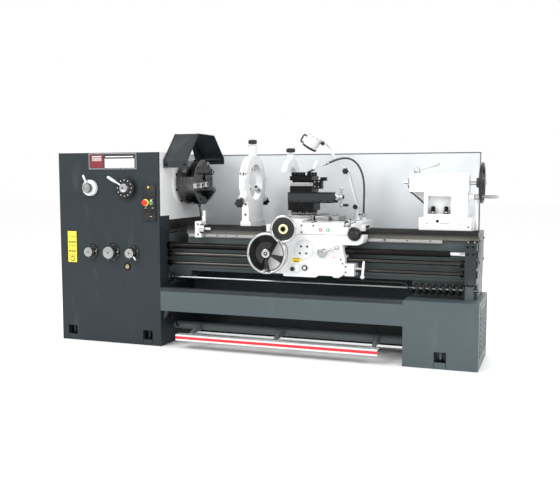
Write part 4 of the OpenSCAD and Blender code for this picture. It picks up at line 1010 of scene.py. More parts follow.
    def build_speed_dial(self) -> None:
        """Build the speed dial: a drawn steel backing, a black disc with marks, and its lever."""
        at = self.spot(547, 1079)
        piece = Piece("speed_dial_parts", Finish.ROD)
        piece.lathe(at, Axis.FRONT.value, [(62 * MM, 0.4 * MM), (66 * MM, 10 * MM), (66 * MM, 18 * MM), (60 * MM, 20 * MM)], 56)
        piece.use(Finish.BLACK).lathe(at, Axis.FRONT.value, [(62 * MM, 19 * MM), (70 * MM, 22 * MM), (70 * MM, 33 * MM), (66 * MM, 37 * MM), (34 * MM, 38 * MM)], 56)
        piece.use(Finish.PLATE)
        for k in range(12):
            a = TURN * k / 12
            r = 54 * MM
            spot = at + Vector((r * math.cos(a), -37.4 * MM, r * math.sin(a)))
            piece.lathe(spot, Axis.FRONT.value, [(3.2 * MM, -0.5 * MM), (3.2 * MM, 0.7 * MM)], 8)
        piece.use(Finish.CHROME).lathe(at, Axis.FRONT.value, [(34 * MM, 36 * MM), (33 * MM, 44 * MM), (28 * MM, 54 * MM), (10 * MM, 58 * MM)], 48)
        piece.use(Finish.BLACK_STEEL).screw(at + Vector((0, -56 * MM, 0)), Axis.FRONT.value, 7 * MM, 5 * MM)
        piece.use(Finish.WHITE)
        self.lever(piece, at, (-118, 56, 76), 10 * MM)
        piece.place("speed_dial", replaces=["speed_dial"], slot="black_plastic")

    def build_gear_knob(self, number: int, knob_r: float) -> None:
        """Build one gear selector knob on its dark flange.

        Args:
            number: which knob, counted from the left.
            knob_r: radius of the knob.
        """
        node = f"gear_knob_{number}"
        box = Extent.of(node)
        flange = 63 * MM if number == 2 else 50 * MM
        x = {1: 256, 2: 416, 3: 580}[number]
        at = self.spot(x, 636)
        piece = Piece(node + "_parts", Finish.ROD)
        piece.lathe(at, Axis.FRONT.value, [(flange, 0.4 * MM), (flange, 7 * MM), (flange - 4 * MM, 12 * MM), (knob_r * 0.8, 13 * MM)], 48)
        piece.use(Finish.BLACK).lathe(at, Axis.FRONT.value, [(flange - 7 * MM, 10 * MM), (flange - 7 * MM, 13.5 * MM), (knob_r * 0.9, 15 * MM)], 48)
        piece.use(Finish.STEEL)
        for k in range(8):
            a = TURN * (k + 0.5) / 8
            spot = at + Vector(((flange - 4 * MM) * math.cos(a), -11.6 * MM, (flange - 4 * MM) * math.sin(a)))
            piece.lathe(spot, Axis.FRONT.value, [(2.4 * MM, 0), (2.4 * MM, 0.9 * MM)], 8)
        turn = frame_on(Axis.FRONT.value)
        rings = []
        count = 96
        for share, out in ((0.84, 13), (0.84, 24), (0.98, 26), (1.0, 29), (1.0, 45), (0.95, 49.5), (0.2, 50)):
            flute = 0.035 if share > 0.96 else 0.0
            rings.append(
                [
                    at + turn @ Vector((knob_r * (share - flute * (math.sin(12 * TURN * k / count) > 0.3)) * math.cos(TURN * k / count),
                                        knob_r * (share - flute * (math.sin(12 * TURN * k / count) > 0.3)) * math.sin(TURN * k / count), out * MM))
                    for k in range(count)
                ]
            )
        piece.shell(rings)
        piece.use(Finish.BLACK_STEEL).screw(at + Vector((0, -49 * MM, 0)), Axis.FRONT.value, 5 * MM, 3 * MM)
        piece.use(Finish.CHROME)
        if number == 3:
            self.lever(piece, at, (54, 44, -46), 7 * MM)
        else:
            spot = at + Vector((flange - 6 * MM, 0, 4 * MM))
            piece.lathe(spot, Axis.FRONT.value, [(5 * MM, 8 * MM), (5 * MM, 22 * MM), (2 * MM, 25 * MM)], 16)
        piece.place(node, replaces=[node], slot="bright_steel")
        log.info("%s stands in %s", node, [round(v, 3) for v in box.size])

    def build_panel(self) -> None:
        """Build the switch panel with its pilot lamp, small buttons and plates."""
        box = Extent.of("control_panel")
        face = self.front - 8 * MM
        panel = Piece("switch_panel", Finish.PANEL)
        panel.block((box.low.x, face, box.low.z), (box.high.x, self.front - 0.05 * MM, box.high.z))
        panel.use(Finish.BLACK).block(
            (box.low.x + 5 * MM, face - 1.2 * MM, box.low.z + 5 * MM), (box.high.x - 5 * MM, face + 1 * MM, box.high.z - 5 * MM)
        )
        x, z = box.low.x, box.low.z
        for du, dv, r, finish in ((51, 228, 8, Finish.YELLOW), (27, 73, 8, Finish.BLACK), (79, 73, 8, Finish.BLACK), (66, 50, 9, Finish.BLACK)):
            at = Vector((x + du * MM, face, z + dv * MM))
            panel.use(Finish.BLACK_STEEL).lathe(at, Axis.FRONT.value, [((r + 2.5) * MM, 0), ((r + 2.5) * MM, 2.5 * MM), (r * MM, 3.4 * MM)])
            panel.use(finish).lathe(at, Axis.FRONT.value, [((r - 1) * MM, 2 * MM), ((r - 1) * MM, 6 * MM), (r * 0.4 * MM, 8.5 * MM)])
        panel.use(Finish.PLATE)
        for du, dv, wide in ((20, 88, 14), (72, 88, 14), (58, 32, 16), (64, 146, 16)):
            panel.block((x + du * MM, face - 1.7 * MM, z + dv * MM), (x + (du + wide) * MM, face - 1.1 * MM, z + (dv + 2.4) * MM))
        panel.use(Finish.BLACK_STEEL)
        for u in (x + 10 * MM, box.high.x - 10 * MM):
            for v in (z + 10 * MM, box.high.z - 10 * MM):
                panel.screw((u, face - 1 * MM, v), Axis.FRONT.value, 3.4 * MM, 1.6 * MM)
        panel.place("machine_frame", replaces=["control_panel"], slot="black_plastic", bevel=0.8 * MM)

    def build_buttons(self) -> None:
        """Build the mushroom stop button on its yellow ring and the start button."""
        stop, start = Extent.of("stop_button"), Extent.of("start_button")
        face = self.front - 8 * MM
        rings = Piece("button_rings", Finish.YELLOW)
        for box, r in ((stop, 24), (start, 15)):
            at = Vector((box.centre.x, face, box.centre.z))
            rings.use(Finish.YELLOW if r > 20 else Finish.STEEL)
            rings.lathe(at, Axis.FRONT.value, [(r * MM, 0), (r * MM, 2.5 * MM), ((r - 3) * MM, 4 * MM), (12 * MM, 4 * MM)])
        rings.place("machine_frame", slot="black_plastic")
        at = Vector((stop.centre.x, self.front, stop.centre.z))
        red = Piece("stop_mushroom", Finish.RED)
        red.lathe(at, Axis.FRONT.value, [(9 * MM, 9 * MM), (9 * MM, 21 * MM), (18 * MM, 22 * MM), (20 * MM, 25 * MM), (19 * MM, 30 * MM), (12 * MM, 33.5 * MM), (1 * MM, 34 * MM)])
        red.place("stop_button", replaces=["stop_button"], slot="red_plastic")
        at = Vector((start.centre.x, self.front, start.centre.z))
        green = Piece("start_cap", Finish.GREEN)
        green.lathe(at, Axis.FRONT.value, [(11 * MM, 12.5 * MM), (11 * MM, 17 * MM), (9.5 * MM, 19.4 * MM), (1 * MM, 20 * MM)])
        green.place("start_button", replaces=["start_button"], slot="green_plastic")


class Datum:
    """The machine's measuring corner: the cover's left edge, the stand's front and the floor."""

    @staticmethod
    def at(x: float, y: float, z: float) -> Vector:
        """Return a point from its distances in millimetres to the measuring corner."""
        return Vector((Extent.of("front_cover").low.x + x * MM, Extent.of("left_pedestal").low.y + y * MM, z * MM))

    @classmethod
    def path(cls, points: Sequence[Point], steps: int = 1) -> list[Vector]:
        """Return a route through points in millimetres.

        Args:
            points: the points to pass through.
            steps: pieces that each stretch is divided into, on a smooth curve.

        Returns:
            The route in metres.
        """
        at = [cls.at(*p) for p in points]
        if steps == 1:
            return at
        route = []
        for i in range(len(at) - 1):
            a, b, c, d = at[max(i - 1, 0)], at[i], at[i + 1], at[min(i + 2, len(at) - 1)]
            for k in range(steps):
                t = k / steps
                route.append(
                    0.5 * (2 * b + (c - a) * t + (2 * a - 5 * b + 4 * c - d) * t**2 + (3 * b - a - 3 * c + d) * t**3)
                )
        return route + [at[-1]]


@dataclass
class Bed:
    """Bed, rack, drive shafts, guide bar and the splash guard behind them."""

    thread_pitch: float = 12.0
    screw_r: float = 22.0

    def build(self) -> None:
        """Dress the bed and build its shafts and trims."""
        dress(Finish.BED, "bed")
        dress(Finish.STEEL, "rack")
        dress(Finish.ROD, "feed_rod", "control_rod")
        dress(Finish.BAR, "cable_bar")
        dress(Finish.SPLASH, "splash_guard")
        self.build_leadscrew()
        self.build_rack_screws()
        self.build_brackets()
        self.build_splash_trim()

    def build_leadscrew(self) -> None:
        """Build the leadscrew with its trapezoidal thread."""
        piece = Piece("leadscrew_thread", Finish.OILED)
        start, end = Datum.at(797, 125, 686), Datum.at(2708, 125, 686)
        pitch, length = self.thread_pitch * MM, (end - start).length
        per_turn, r, root = 14, self.screw_r * MM, (self.screw_r - 4.5) * MM
        turns = int(length / pitch)
        outline = ((root, 0.0), (r, 0.18), (r, 0.46), (root, 0.64))
        rings = []
        for i in range(turns * per_turn + 1):
            a = TURN * i / per_turn
            ring = [
                start + Vector(((i / per_turn + t) * pitch, rad * math.cos(a), rad * math.sin(a))) for rad, t in outline
            ]
            rings.append(ring)
        piece.shell(rings, closed=True)
        piece.lathe(start, Axis.X.value, [(root + 0.4 * MM, 0), (root + 0.4 * MM, length)], 20)
        piece.use(Finish.CHROME)
        piece.rod(Datum.at(782.5, 125, 686), start, 15 * MM)
        piece.rod(end, Datum.at(2862, 125, 686), 15 * MM)
        piece.use(Finish.BLACK_STEEL)
        piece.lathe(start + Vector((-4 * MM, 0, 0)), Axis.X.value, [(25 * MM, 0), (27 * MM, 3 * MM), (27 * MM, 40 * MM), (24 * MM, 44 * MM)])
        piece.place("leadscrew", replaces=["leadscrew"], slot="oiled_steel", crease=50)

    def build_rack_screws(self) -> None:
        """Put the rack's black screws in, and collars on the two plain shafts."""
        rack = Extent.of("rack")
        screws = Piece("rack_screws", Finish.BLACK_STEEL)
        count = 12
        for i in range(count):
            x = rack.low.x + (rack.size.x) * (i + 0.5) / count
            screws.screw((x, rack.low.y, rack.high.z - 8 * MM), Axis.FRONT.value, 4.6 * MM, 3 * MM)
        screws.place("machine_frame", slot="bright_steel")
        for name, z, r in (("feed_rod", 629, 14), ("control_rod", 566, 12)):
            ring = Piece(name + "_collars", Finish.BLACK_STEEL)
            for x in (793, 2772):
                ring.lathe(Datum.at(x, 125, z), Axis.X.value, [(r * MM, 0), ((r + 7) * MM, 0), ((r + 8) * MM, 2 * MM), ((r + 8) * MM, 20 * MM), (r * MM, 22 * MM)])
            ring.place(name, slot="oiled_steel")

    def build_brackets(self) -> None:
        """Add screws, oil cups and covers to the shafts' end bracket and the guide bar's."""
        box = Extent.of("rod_bracket")
        piece = Piece("bracket_screws", Finish.BLACK_STEEL)
        for x in (2816, 2848):
            for z in (691, 735):
                piece.screw(Datum.at(x, 95, z), Axis.FRONT.value, 6 * MM, 5 * MM)
        for z in (686, 629, 566):
            piece.lathe(Datum.at(2868, 125, z), Axis.X.value, [(24 * MM, 0), (24 * MM, 5 * MM), (14 * MM, 8 * MM)])
        piece.use(Finish.STEEL)
        for x in (2812, 2850):
            piece.lathe((Datum.at(x, 130, 0).x, box.centre.y, box.high.z), Axis.Z.value, [(5 * MM, 0), (5 * MM, 4 * MM), (3.5 * MM, 7 * MM)], 14)
        piece.place("machine_frame", slot="bright_steel")
        plug = Piece("cable_gland", Finish.BLACK)
        at = Datum.at(2825, 140, 492)
        plug.lathe(at, Axis.Z.value, [(15 * MM, 0), (15 * MM, 10 * MM), (12 * MM, 14 * MM), (12 * MM, 34 * MM), (8 * MM, 40 * MM)], 20)
        plug.tube(Datum.path([(2825, 140, 528), (2826, 140, 552), (2836, 150, 568), (2848, 168, 560), (2850, 190, 536)], 5), 6 * MM)
        plug.use(Finish.GREY).block(Datum.at(2801.4, 115.4, 408.2), Datum.at(2848.6, 164.6, 492.6))
        plug.use(Finish.SLATE).lathe(Datum.at(791.4, 140, 466), Axis.X.value, [(36.6 * MM, 0), (36.6 * MM, 12 * MM), (34 * MM, 14.6 * MM), (12 * MM, 14.8 * MM)], 40)
        plug.use(Finish.BLACK).lathe(Datum.at(806, 140, 466), Axis.X.value, [(11 * MM, 0), (22 * MM, 0), (22 * MM, 12 * MM), (16 * MM, 18 * MM), (11 * MM, 18 * MM)])
        plug.place("machine_frame", slot="black_plastic")
        wipe = Piece("bed_end_plate", Finish.BED)
        bed = Extent.of("bed")
        wipe.block((bed.high.x, bed.low.y + 30 * MM, bed.high.z - 250 * MM), (bed.high.x + 5 * MM, bed.low.y + 330 * MM, bed.high.z - 75 * MM))
        wipe.use(Finish.BLACK_STEEL)
        for u in (50, 310):
            for v in (230, 95):
                wipe.screw((bed.high.x + 5 * MM, bed.low.y + u * MM, bed.high.z - v * MM), Axis.X.value, 7 * MM, 5 * MM)
        wipe.place("machine_frame", slot="slate_paint", bevel=1 * MM)

    def build_splash_trim(self) -> None:
        """Add the folded lips and stiffening ribs of the splash guard; the lips are grey, painted shade for the dark
        lines along the white sheet's edges.
        """
        box = Extent.of("splash_guard")
        trim = Piece("splash_trim", Finish.GREY)
        left = Extent.of("headstock_casting").high.x
        face = Datum.at(0, 720, 0).y
        # Grey lips along the top and right edges and down the tray's end: painted shade of the sheet's edges.
        trim.tube([Vector((left + 20 * MM, face - 2 * MM, box.high.z - 3 * MM)), Vector((box.high.x - 3 * MM, face - 2 * MM, box.high.z - 3 * MM))], 3 * MM, 10)
        trim.tube([Vector((box.high.x - 3 * MM, face - 2 * MM, box.high.z - 3 * MM)), Vector((box.high.x - 3 * MM, face - 2 * MM, 800 * MM))], 3 * MM, 10)
        tray = Extent.of("chip_tray")
        trim.tube([Vector((tray.high.x - 3 * MM, face - 2 * MM, 800 * MM)), Vector((tray.high.x - 3 * MM, Datum.at(0, 541, 0).y, 0.412))], 3 * MM, 10)
        trim.use(Finish.SPLASH)
        trim.block((left + 20 * MM, face - 2 * MM, 786 * MM), (box.high.x, face - 0.1 * MM, 800 * MM))
        trim.use(Finish.STEEL)
        for i in range(7):
            x = left + (box.high.x - left) * (i + 0.5) / 7
            trim.ball((x, face - 2 * MM, 793 * MM), 4.5 * MM, 0.6, Axis.Y.value)
        trim.place("machine_frame", slot="white_paint")


@dataclass
class Chuck:
    """Three-jaw chuck on the spindle nose, its jaws and its guard."""

    outer_r: float = 157.0
    left: float = 841.0
    right: float = 951.0

    def build(self) -> None:
        """Dress the chuck, and add its key sockets, face screws and guard trims."""
        dress(Finish.CHUCK, "chuck_body")
        dress(Finish.STEEL, "chuck_jaw_1", "chuck_jaw_2", "chuck_jaw_3")
        dress(Finish.IRON, "chuck_guard")
        axis = spindle_line()
        edge = Piece("chuck_edges", Finish.CHUCK)
        for x, side in ((self.left, 1), (self.right - 27, -1)):
            at = Vector((Datum.at(x, 0, 0).x, axis.y, axis.z))
            r = self.outer_r * MM
            edge.lathe(at, Axis.X.value, [(r - 2 * MM, 0), (r + 0.5 * MM, 2 * MM), (r + 0.5 * MM, 13 * MM), (r - 0.5 * MM, 14 * MM)], 96)
        for k in range(3):
            a = math.radians((10, 130, 250)[k])
            out = Vector((0, math.cos(a), math.sin(a)))
            at = Vector((Datum.at(self.left + 50, 0, 0).x, axis.y, axis.z)) + out * self.outer_r * MM
            edge.use(Finish.STEEL).lathe(at, out, [(15 * MM, -3 * MM), (15 * MM, 1 * MM), (10 * MM, 1.4 * MM), (9 * MM, -2.5 * MM)], 24)
            edge.use(Finish.BLACK_STEEL)
            for r in (78, 128):
                spot = Vector((Datum.at(self.right, 0, 0).x, axis.y, axis.z)) + out * r * MM
                edge.screw(spot, Axis.X.value, 8.5 * MM, 2.5 * MM)
        edge.place("spindle", slot="bright_steel", crease=40)
        jaws = ("chuck_jaw_1", "chuck_jaw_2", "chuck_jaw_3")
        for number, node in enumerate(jaws, 1):
            a = math.radians((70, 190, 310)[number - 1])
            out, side = Vector((0, math.cos(a), math.sin(a))), Vector((0, -math.sin(a), math.cos(a)))
            piece = Piece(f"jaw_{number}_screws", Finish.BLACK_STEEL)
            for r, x in ((76, 1019), (104, 994), (133, 969)):
                piece.screw(Vector((Datum.at(x, 0, 0).x, axis.y, axis.z)) + out * r * MM, Axis.X.value, 7 * MM, 2.4 * MM)
            piece.place(f"jaw_{number}", slot="bright_steel")
            log.info("%s turned to %d degrees, side %s", node, math.degrees(a), [round(v, 2) for v in side])
        guard = Piece("guard_hinge", Finish.BLACK_STEEL)
        guard.screw(Datum.at(820, 57.5, 1238), Axis.FRONT.value, 9 * MM, 8 * MM)
        guard.screw(Datum.at(955, 57.5, 1238), Axis.FRONT.value, 7 * MM, 5 * MM)
        guard.use(Finish.IRON)
        for x in (797, 966):
            guard.tube(Datum.path([(x + 6, 60, 1222), (x + 6, 58, 1268), (x + 6, 229, 1450), (x + 6, 481, 1450), (x + 6, 652, 1292)]), 3 * MM, 8)
        guard.place("chuck_guard", slot="slate_paint")


@dataclass
class Carriage:
    """Saddle, apron and the wheels and levers on them."""

    wheel_rim: float = 125.0
    dial_rim: float = 80.0

    def build(self) -> None:
        """Dress the castings and build their controls."""
        dress(Finish.WHITE_CASTING, "saddle", "apron", "follow_rest")
        self.build_saddle_trims()
        self.build_apron_trims()
        self.build_apron_wheel()
        self.build_cross_wheel()
        self.build_half_nut()
        self.build_joystick()
        self.build_spindle_lever()
        self.build_follow_rest()

    def build_saddle_trims(self) -> None:
        """Add wipers, screws, the two ring plugs and the joint under the saddle."""
        trims = Piece("saddle_wipers", Finish.BLACK)
        for x in (1531, 2170):
            trims.block(Datum.at(x, 182, 827), Datum.at(x + 4, 260, 846))
            trims.use(Finish.BLACK_STEEL)
            for y in (192, 250):
                trims.screw(Datum.at(x + (4 if x > 2000 else 0), y, 838), (Axis.X if x > 2000 else Axis.LEFT).value, 4 * MM, 3 * MM)
            trims.use(Finish.BLACK)
        trims.block(Datum.at(1606, 61.4, 788.6), Datum.at(2129, 63, 790.6))
        trims.place("carriage", slot="black_plastic", bevel=0.5 * MM)
        screws = Piece("saddle_screws", Finish.BLACK_STEEL)
        for x, z in ((1780, 802), (1780, 846), (1858, 846), (2062, 846), (2110, 802)):
            screws.screw(Datum.at(x, 62, z), Axis.FRONT.value, 5.5 * MM, 3 * MM)
        for x in (1846, 2106):
            for y in (84, 152):
                screws.screw(Datum.at(x, y, 863), Axis.Z.value, 8 * MM, 5 * MM)
        for x, y in ((1590, 84), (1590, 152), (1980, 520), (1900, 520)):
            screws.screw(Datum.at(x, y, 863 if x > 1600 else 847), Axis.Z.value, 8 * MM, 5 * MM)
        for x, finish in ((1905, Finish.RED), (1955, Finish.GREEN)):
            screws.use(finish).lathe(Datum.at(x, 62, 820), Axis.FRONT.value, [(6 * MM, 0.2 * MM), (11 * MM, 0.2 * MM), (11 * MM, 3 * MM), (8 * MM, 5 * MM), (5.5 * MM, 4 * MM)])
            screws.use(Finish.PLATE).lathe(Datum.at(x, 62, 820), Axis.FRONT.value, [(5.5 * MM, 1 * MM), (5 * MM, 4.4 * MM)])
        screws.place("carriage", slot="bright_steel")
        deck = Piece("saddle_deck", Finish.STEEL)
        deck.block(Datum.at(1812, 250, 863), Datum.at(1898, 540, 897))
        deck.block(Datum.at(1902, 300, 863), Datum.at(1956, 500, 892))
        deck.use(Finish.BLACK_STEEL)
        for x, y in ((1824, 262), (1886, 262), (1824, 528), (1886, 528)):
            deck.screw(Datum.at(x, y, 897), Axis.Z.value, 5 * MM, 3 * MM)
        deck.place("carriage", slot="bright_steel", bevel=1 * MM)

    def build_apron_trims(self) -> None:
        """Add the round cover, plates, plugs and screws on the apron's front."""
        trims = Piece("apron_trims", Finish.WHITE)
        trims.lathe(Datum.at(1797, 57, 690), Axis.FRONT.value, [(58 * MM, -4 * MM), (60 * MM, 0), (60 * MM, 2 * MM), (57 * MM, 4 * MM)], 56)
        trims.lathe(Datum.at(1745, 62, 571), Axis.FRONT.value, [(35 * MM, 0.2 * MM), (35 * MM, 5 * MM), (25 * MM, 6 * MM), (24 * MM, 18 * MM), (19 * MM, 19 * MM)], 40)
        trims.use(Finish.BLACK).lathe(Datum.at(1727, 46, 567), Axis.FRONT.value, [(12 * MM, -3 * MM), (14 * MM, 3 * MM), (14 * MM, 18 * MM), (10 * MM, 22 * MM)], 24)
        trims.use(Finish.BLACK_STEEL).lathe(Datum.at(1805, 52, 575), Axis.FRONT.value, [(18 * MM, -2 * MM), (18 * MM, 3 * MM), (10 * MM, 5 * MM)], 32)
        trims.use(Finish.PLATE).lathe(Datum.at(1805, 50, 575), Axis.FRONT.value, [(10 * MM, 0), (9.5 * MM, 4 * MM), (2 * MM, 5 * MM)], 24)
        middle = Datum.at(1745, 61.3, 622)
        oval = [(middle.x + 36 * MM * math.cos(TURN * k / 40), middle.z + 16 * MM * math.sin(TURN * k / 40)) for k in range(40)]
        trims.use(Finish.YELLOW).slab(oval, Axis.Y, middle.y, middle.y + 0.6 * MM)
        trims.use(Finish.INK).block(Datum.at(1722, 60.6, 628), Datum.at(1768, 61.1, 632))
        trims.block(Datum.at(1728, 60.6, 612), Datum.at(1762, 61.1, 619))
        trims.use(Finish.BLACK_STEEL)
        for dx in (-21, 21):
            for dz in (-22, 22):
                trims.screw(Datum.at(1797 + dx + dz * 0.15, 53.2, 690 + dz), Axis.FRONT.value, 6.5 * MM, 4 * MM)
        for x, z in ((2040, 636), (2052, 610), (1764, 556), (2072, 590), (2072, 556)):
            trims.screw(Datum.at(x, 62 if x < 2065 else 66, z), Axis.FRONT.value, 5 * MM, 3 * MM)
        trims.use(Finish.RED).block(Datum.at(1986, 61.2, 646), Datum.at(2002, 61.9, 650))
        trims.place("carriage", slot="white_paint")

    def build_apron_wheel(self) -> None:
        """Build the big wheel: chrome rim, black dished spokes, a wide black sector over its upper left painted as the
        shade seen behind the wheel, hub ring and grip.
        """
        at = Datum.at(1573, -28, 668)
        wheel = Piece("apron_wheel_parts", Finish.CHROME)
        wheel.ring(at, Axis.Y.value, self.wheel_rim * MM, 9 * MM, 0.9)
        wheel.use(Finish.BLACK)
        turn = frame_on(Axis.FRONT.value)
        # The third entry, 200 degrees wide, is no spoke: a black sector standing in for the shade seen through the
        # wheel on its upper left.
        for middle, width in ((-20, 13), (270, 12), (150, 100)):
            a0, half = math.radians(middle), math.radians(width)
            rows = []
            for share, out, spread in ((0.16, 5, 1.0), (0.3, 3, 1.0), (0.6, -3, 0.94), (0.85, -5, 0.94), (0.96, -3, 1.05)):
                r, count = self.wheel_rim * MM * share, 16
                fan = [a0 + half * spread * (2 * i / count - 1) for i in range(count + 1)]
                corners = [(a, 3) for a in fan] + [(a, -3) for a in reversed(fan)]
                rows.append([at + turn @ Vector((r * math.cos(a), r * math.sin(a), (out + o) * MM)) for a, o in corners])
            wheel.shell(rows)
        wheel.lathe(at, Axis.Y.value, [(30 * MM, -14 * MM), (34 * MM, -10 * MM), (34 * MM, 10 * MM), (28 * MM, 30 * MM)], 40)
        wheel.ring(at, Axis.Y.value, (self.wheel_rim - 7.5) * MM, 5.5 * MM)
        wheel.use(Finish.CHROME).lathe(at, Axis.FRONT.value, [(16 * MM, 8 * MM), (27 * MM, 12 * MM), (27 * MM, 16 * MM), (23 * MM, 18 * MM), (15 * MM, 16 * MM)], 40)
        wheel.use(Finish.BLACK_STEEL).screw(at + Vector((0, -13 * MM, 0)), Axis.FRONT.value, 13 * MM, 5 * MM)
        grip = Datum.at(1581, -36, 563)
        wheel.use(Finish.STEEL).lathe(grip, Axis.FRONT.value, [(5 * MM, -10 * MM), (6 * MM, 0), (9 * MM, 2 * MM), (11 * MM, 10 * MM), (13 * MM, 30 * MM), (12.4 * MM, 48 * MM), (9 * MM, 58 * MM), (4 * MM, 62 * MM)], 24)
        wheel.place("apron_handwheel", replaces=["apron_handwheel"], slot="chrome_trim", crease=42)
        boss = Piece("apron_wheel_dial", Finish.WHITE)
        boss.lathe(Datum.at(1583, 14, 668), Axis.FRONT.value, [(108 * MM, -2 * MM), (108 * MM, 0.6 * MM), (70 * MM, 1 * MM)], 72)
        boss.use(Finish.STEEL)
        boss.lathe(Datum.at(1583, 40, 668), Axis.FRONT.value, [(112 * MM, -6 * MM), (113.5 * MM, -5 * MM), (113.5 * MM, 18 * MM), (112 * MM, 19 * MM)], 72)
        boss.use(Finish.INK)
        for k in range(72):
            a = TURN * k / 72
            out = Vector((math.cos(a), 0, math.sin(a)))
            p = Datum.at(1583, 27, 668) + out * 113.6 * MM
            boss.block(p + Vector((-0.6, -3 if k % 6 else -6, -0.6)) * MM, p + Vector((0.6, 3, 0.6)) * MM)
        boss.place("carriage", slot="white_paint")

    def build_cross_wheel(self) -> None:
        """Build the cross-feed wheel: chrome rim, black dish and cream dial."""
        at = Datum.at(1700, -62, 828)
        wheel = Piece("cross_wheel_parts", Finish.CHROME)
        wheel.ring(at, Axis.Y.value, self.dial_rim * MM, 8 * MM, 0.9)
        wheel.use(Finish.BLACK)
        wheel.lathe(at, Axis.FRONT.value, [(34 * MM, -12 * MM), (70 * MM, -9 * MM), (77 * MM, -5 * MM), (77 * MM, 2 * MM), (60 * MM, -3 * MM), (40 * MM, -5 * MM), (30 * MM, -2 * MM)], 56)
        wheel.use(Finish.CREAM).lathe(at, Axis.FRONT.value, [(20 * MM, -4 * MM), (31 * MM, -2 * MM), (31 * MM, 4 * MM), (28 * MM, 6 * MM), (17 * MM, 6.5 * MM)], 48)
        wheel.use(Finish.INK)
        for k in range(12):
            a = TURN * k / 12
            wheel.rod(at + Vector((19 * math.cos(a), -6.0, 19 * math.sin(a))) * MM - Vector((0, 0, 0)), at + Vector((26 * math.cos(a), -6.3, 26 * math.sin(a))) * MM, 0.9 * MM, sides=6)
        wheel.use(Finish.BLACK_STEEL).lathe(at, Axis.FRONT.value, [(17 * MM, 4 * MM), (17 * MM, 8 * MM), (12 * MM, 10 * MM), (11 * MM, 7 * MM)], 32)
        wheel.use(Finish.CHROME).lathe(Datum.at(1700, 18, 828), Axis.FRONT.value, [(38 * MM, 0.5 * MM), (38.6 * MM, 22 * MM), (34 * MM, 30 * MM), (33 * MM, 62 * MM), (28 * MM, 72 * MM)], 48)
        grip = Datum.at(1684, -68, 760)
        wheel.use(Finish.CHROME).lathe(grip, Axis.FRONT.value, [(4.5 * MM, -8 * MM), (5.5 * MM, 0), (7.5 * MM, 3 * MM), (9.5 * MM, 18 * MM), (11 * MM, 38 * MM), (10 * MM, 56 * MM), (6 * MM, 64 * MM), (2 * MM, 67 * MM)], 24)
        wheel.place("cross_handwheel", replaces=["cross_handwheel"], slot="chrome_trim", crease=42)

    def build_half_nut(self) -> None:
        """Build the half-nut lever with its hub and balls."""
        at = Datum.at(1921, 47.6, 676)
        piece = Piece("half_nut_parts", Finish.STEEL)
        piece.lathe(at, Axis.FRONT.value, [(31 * MM, 0.3 * MM), (31 * MM, 5 * MM), (26 * MM, 7 * MM), (26 * MM, 17 * MM), (22 * MM, 20 * MM), (6 * MM, 20.5 * MM)], 44)
        piece.rod(Datum.at(1938, 36, 682), Datum.at(2018, 32, 709), 6 * MM, 7.5 * MM)
        piece.use(Finish.CHROME).ball(Datum.at(1982, 34, 697), 11 * MM)
        piece.ball(Datum.at(2023, 32, 712), 14 * MM)
        piece.place("half_nut_lever", replaces=["half_nut_lever"], slot="bright_steel")

    def build_joystick(self) -> None:
        """Build the feed selector: glossy black boot, stem and steel knob."""
        boot, knob = Datum.at(2127, 61, 798), Datum.at(2098, -4, 868)
        line = knob - boot
        piece = Piece("joystick_parts", Finish.BLACK)
        r = 44 * MM
        profile = [(r * math.cos(math.radians(a)), r * math.sin(math.radians(a))) for a in range(-40, 66, 10)]
        piece.lathe(boot, Axis.FRONT.value, profile + [(14 * MM, 42.5 * MM), (2 * MM, 43.5 * MM)], 44)
        piece.use(Finish.RUBBER)
        for i in range(3):
            piece.ring(boot + line.normalized() * (42 + 5 * i) * MM, line, (15 - 2.5 * i) * MM, 3.2 * MM)
        piece.use(Finish.CHROME).rod(boot + line * 0.38, boot + line * 0.86, 7 * MM, 9 * MM)
        piece.use(Finish.STEEL).lathe(boot + line * 0.80, line, [(9 * MM, -2 * MM), (17 * MM, 2 * MM), (21 * MM, 10 * MM), (21 * MM, 22 * MM), (19 * MM, 28 * MM), (12 * MM, 31 * MM)], 32)
        piece.use(Finish.BLACK).lathe(boot + line * 0.80, line, [(11 * MM, 30 * MM), (10 * MM, 33 * MM), (2 * MM, 34 * MM)], 24)
        piece.place("feed_joystick", replaces=["feed_joystick"], slot="black_plastic", crease=50)

    def build_spindle_lever(self) -> None:
        """Build the start lever on the lowest rod."""
        piece = Piece("spindle_lever_parts", Finish.CHROME)
        box = Extent.of("spindle_lever")
        piece.lathe((box.low.x, Datum.at(0, 82, 0).y, Datum.at(0, 0, 580).z), Axis.X.value, [(8 * MM, 0.2 * MM), (14 * MM, 0.2 * MM), (14 * MM, 18 * MM), (9 * MM, 20 * MM), (8.5 * MM, 60 * MM)], 28)
        piece.rod((box.low.x + 8 * MM, Datum.at(0, 82, 0).y, 0.580), Datum.at(2190, 82, 580), 8.5 * MM)
        piece.use(Finish.WHITE)
        piece.lathe(Datum.at(2183, 84, 628), Datum.at(2183, 50, 532) - Datum.at(2183, 84, 628), [(5 * MM, 0), (8 * MM, 6 * MM), (8.5 * MM, 60 * MM), (7 * MM, 96 * MM)], 20)
        piece.ball(Datum.at(2183, 50, 532), 13 * MM)
        piece.use(Finish.BLACK).lathe(Datum.at(2190, 82, 580), Axis.X.value, [(9 * MM, 0), (11 * MM, 2 * MM), (4 * MM, 16 * MM)], 20)
        piece.place("spindle_lever", replaces=["spindle_lever"], slot="chrome_trim")

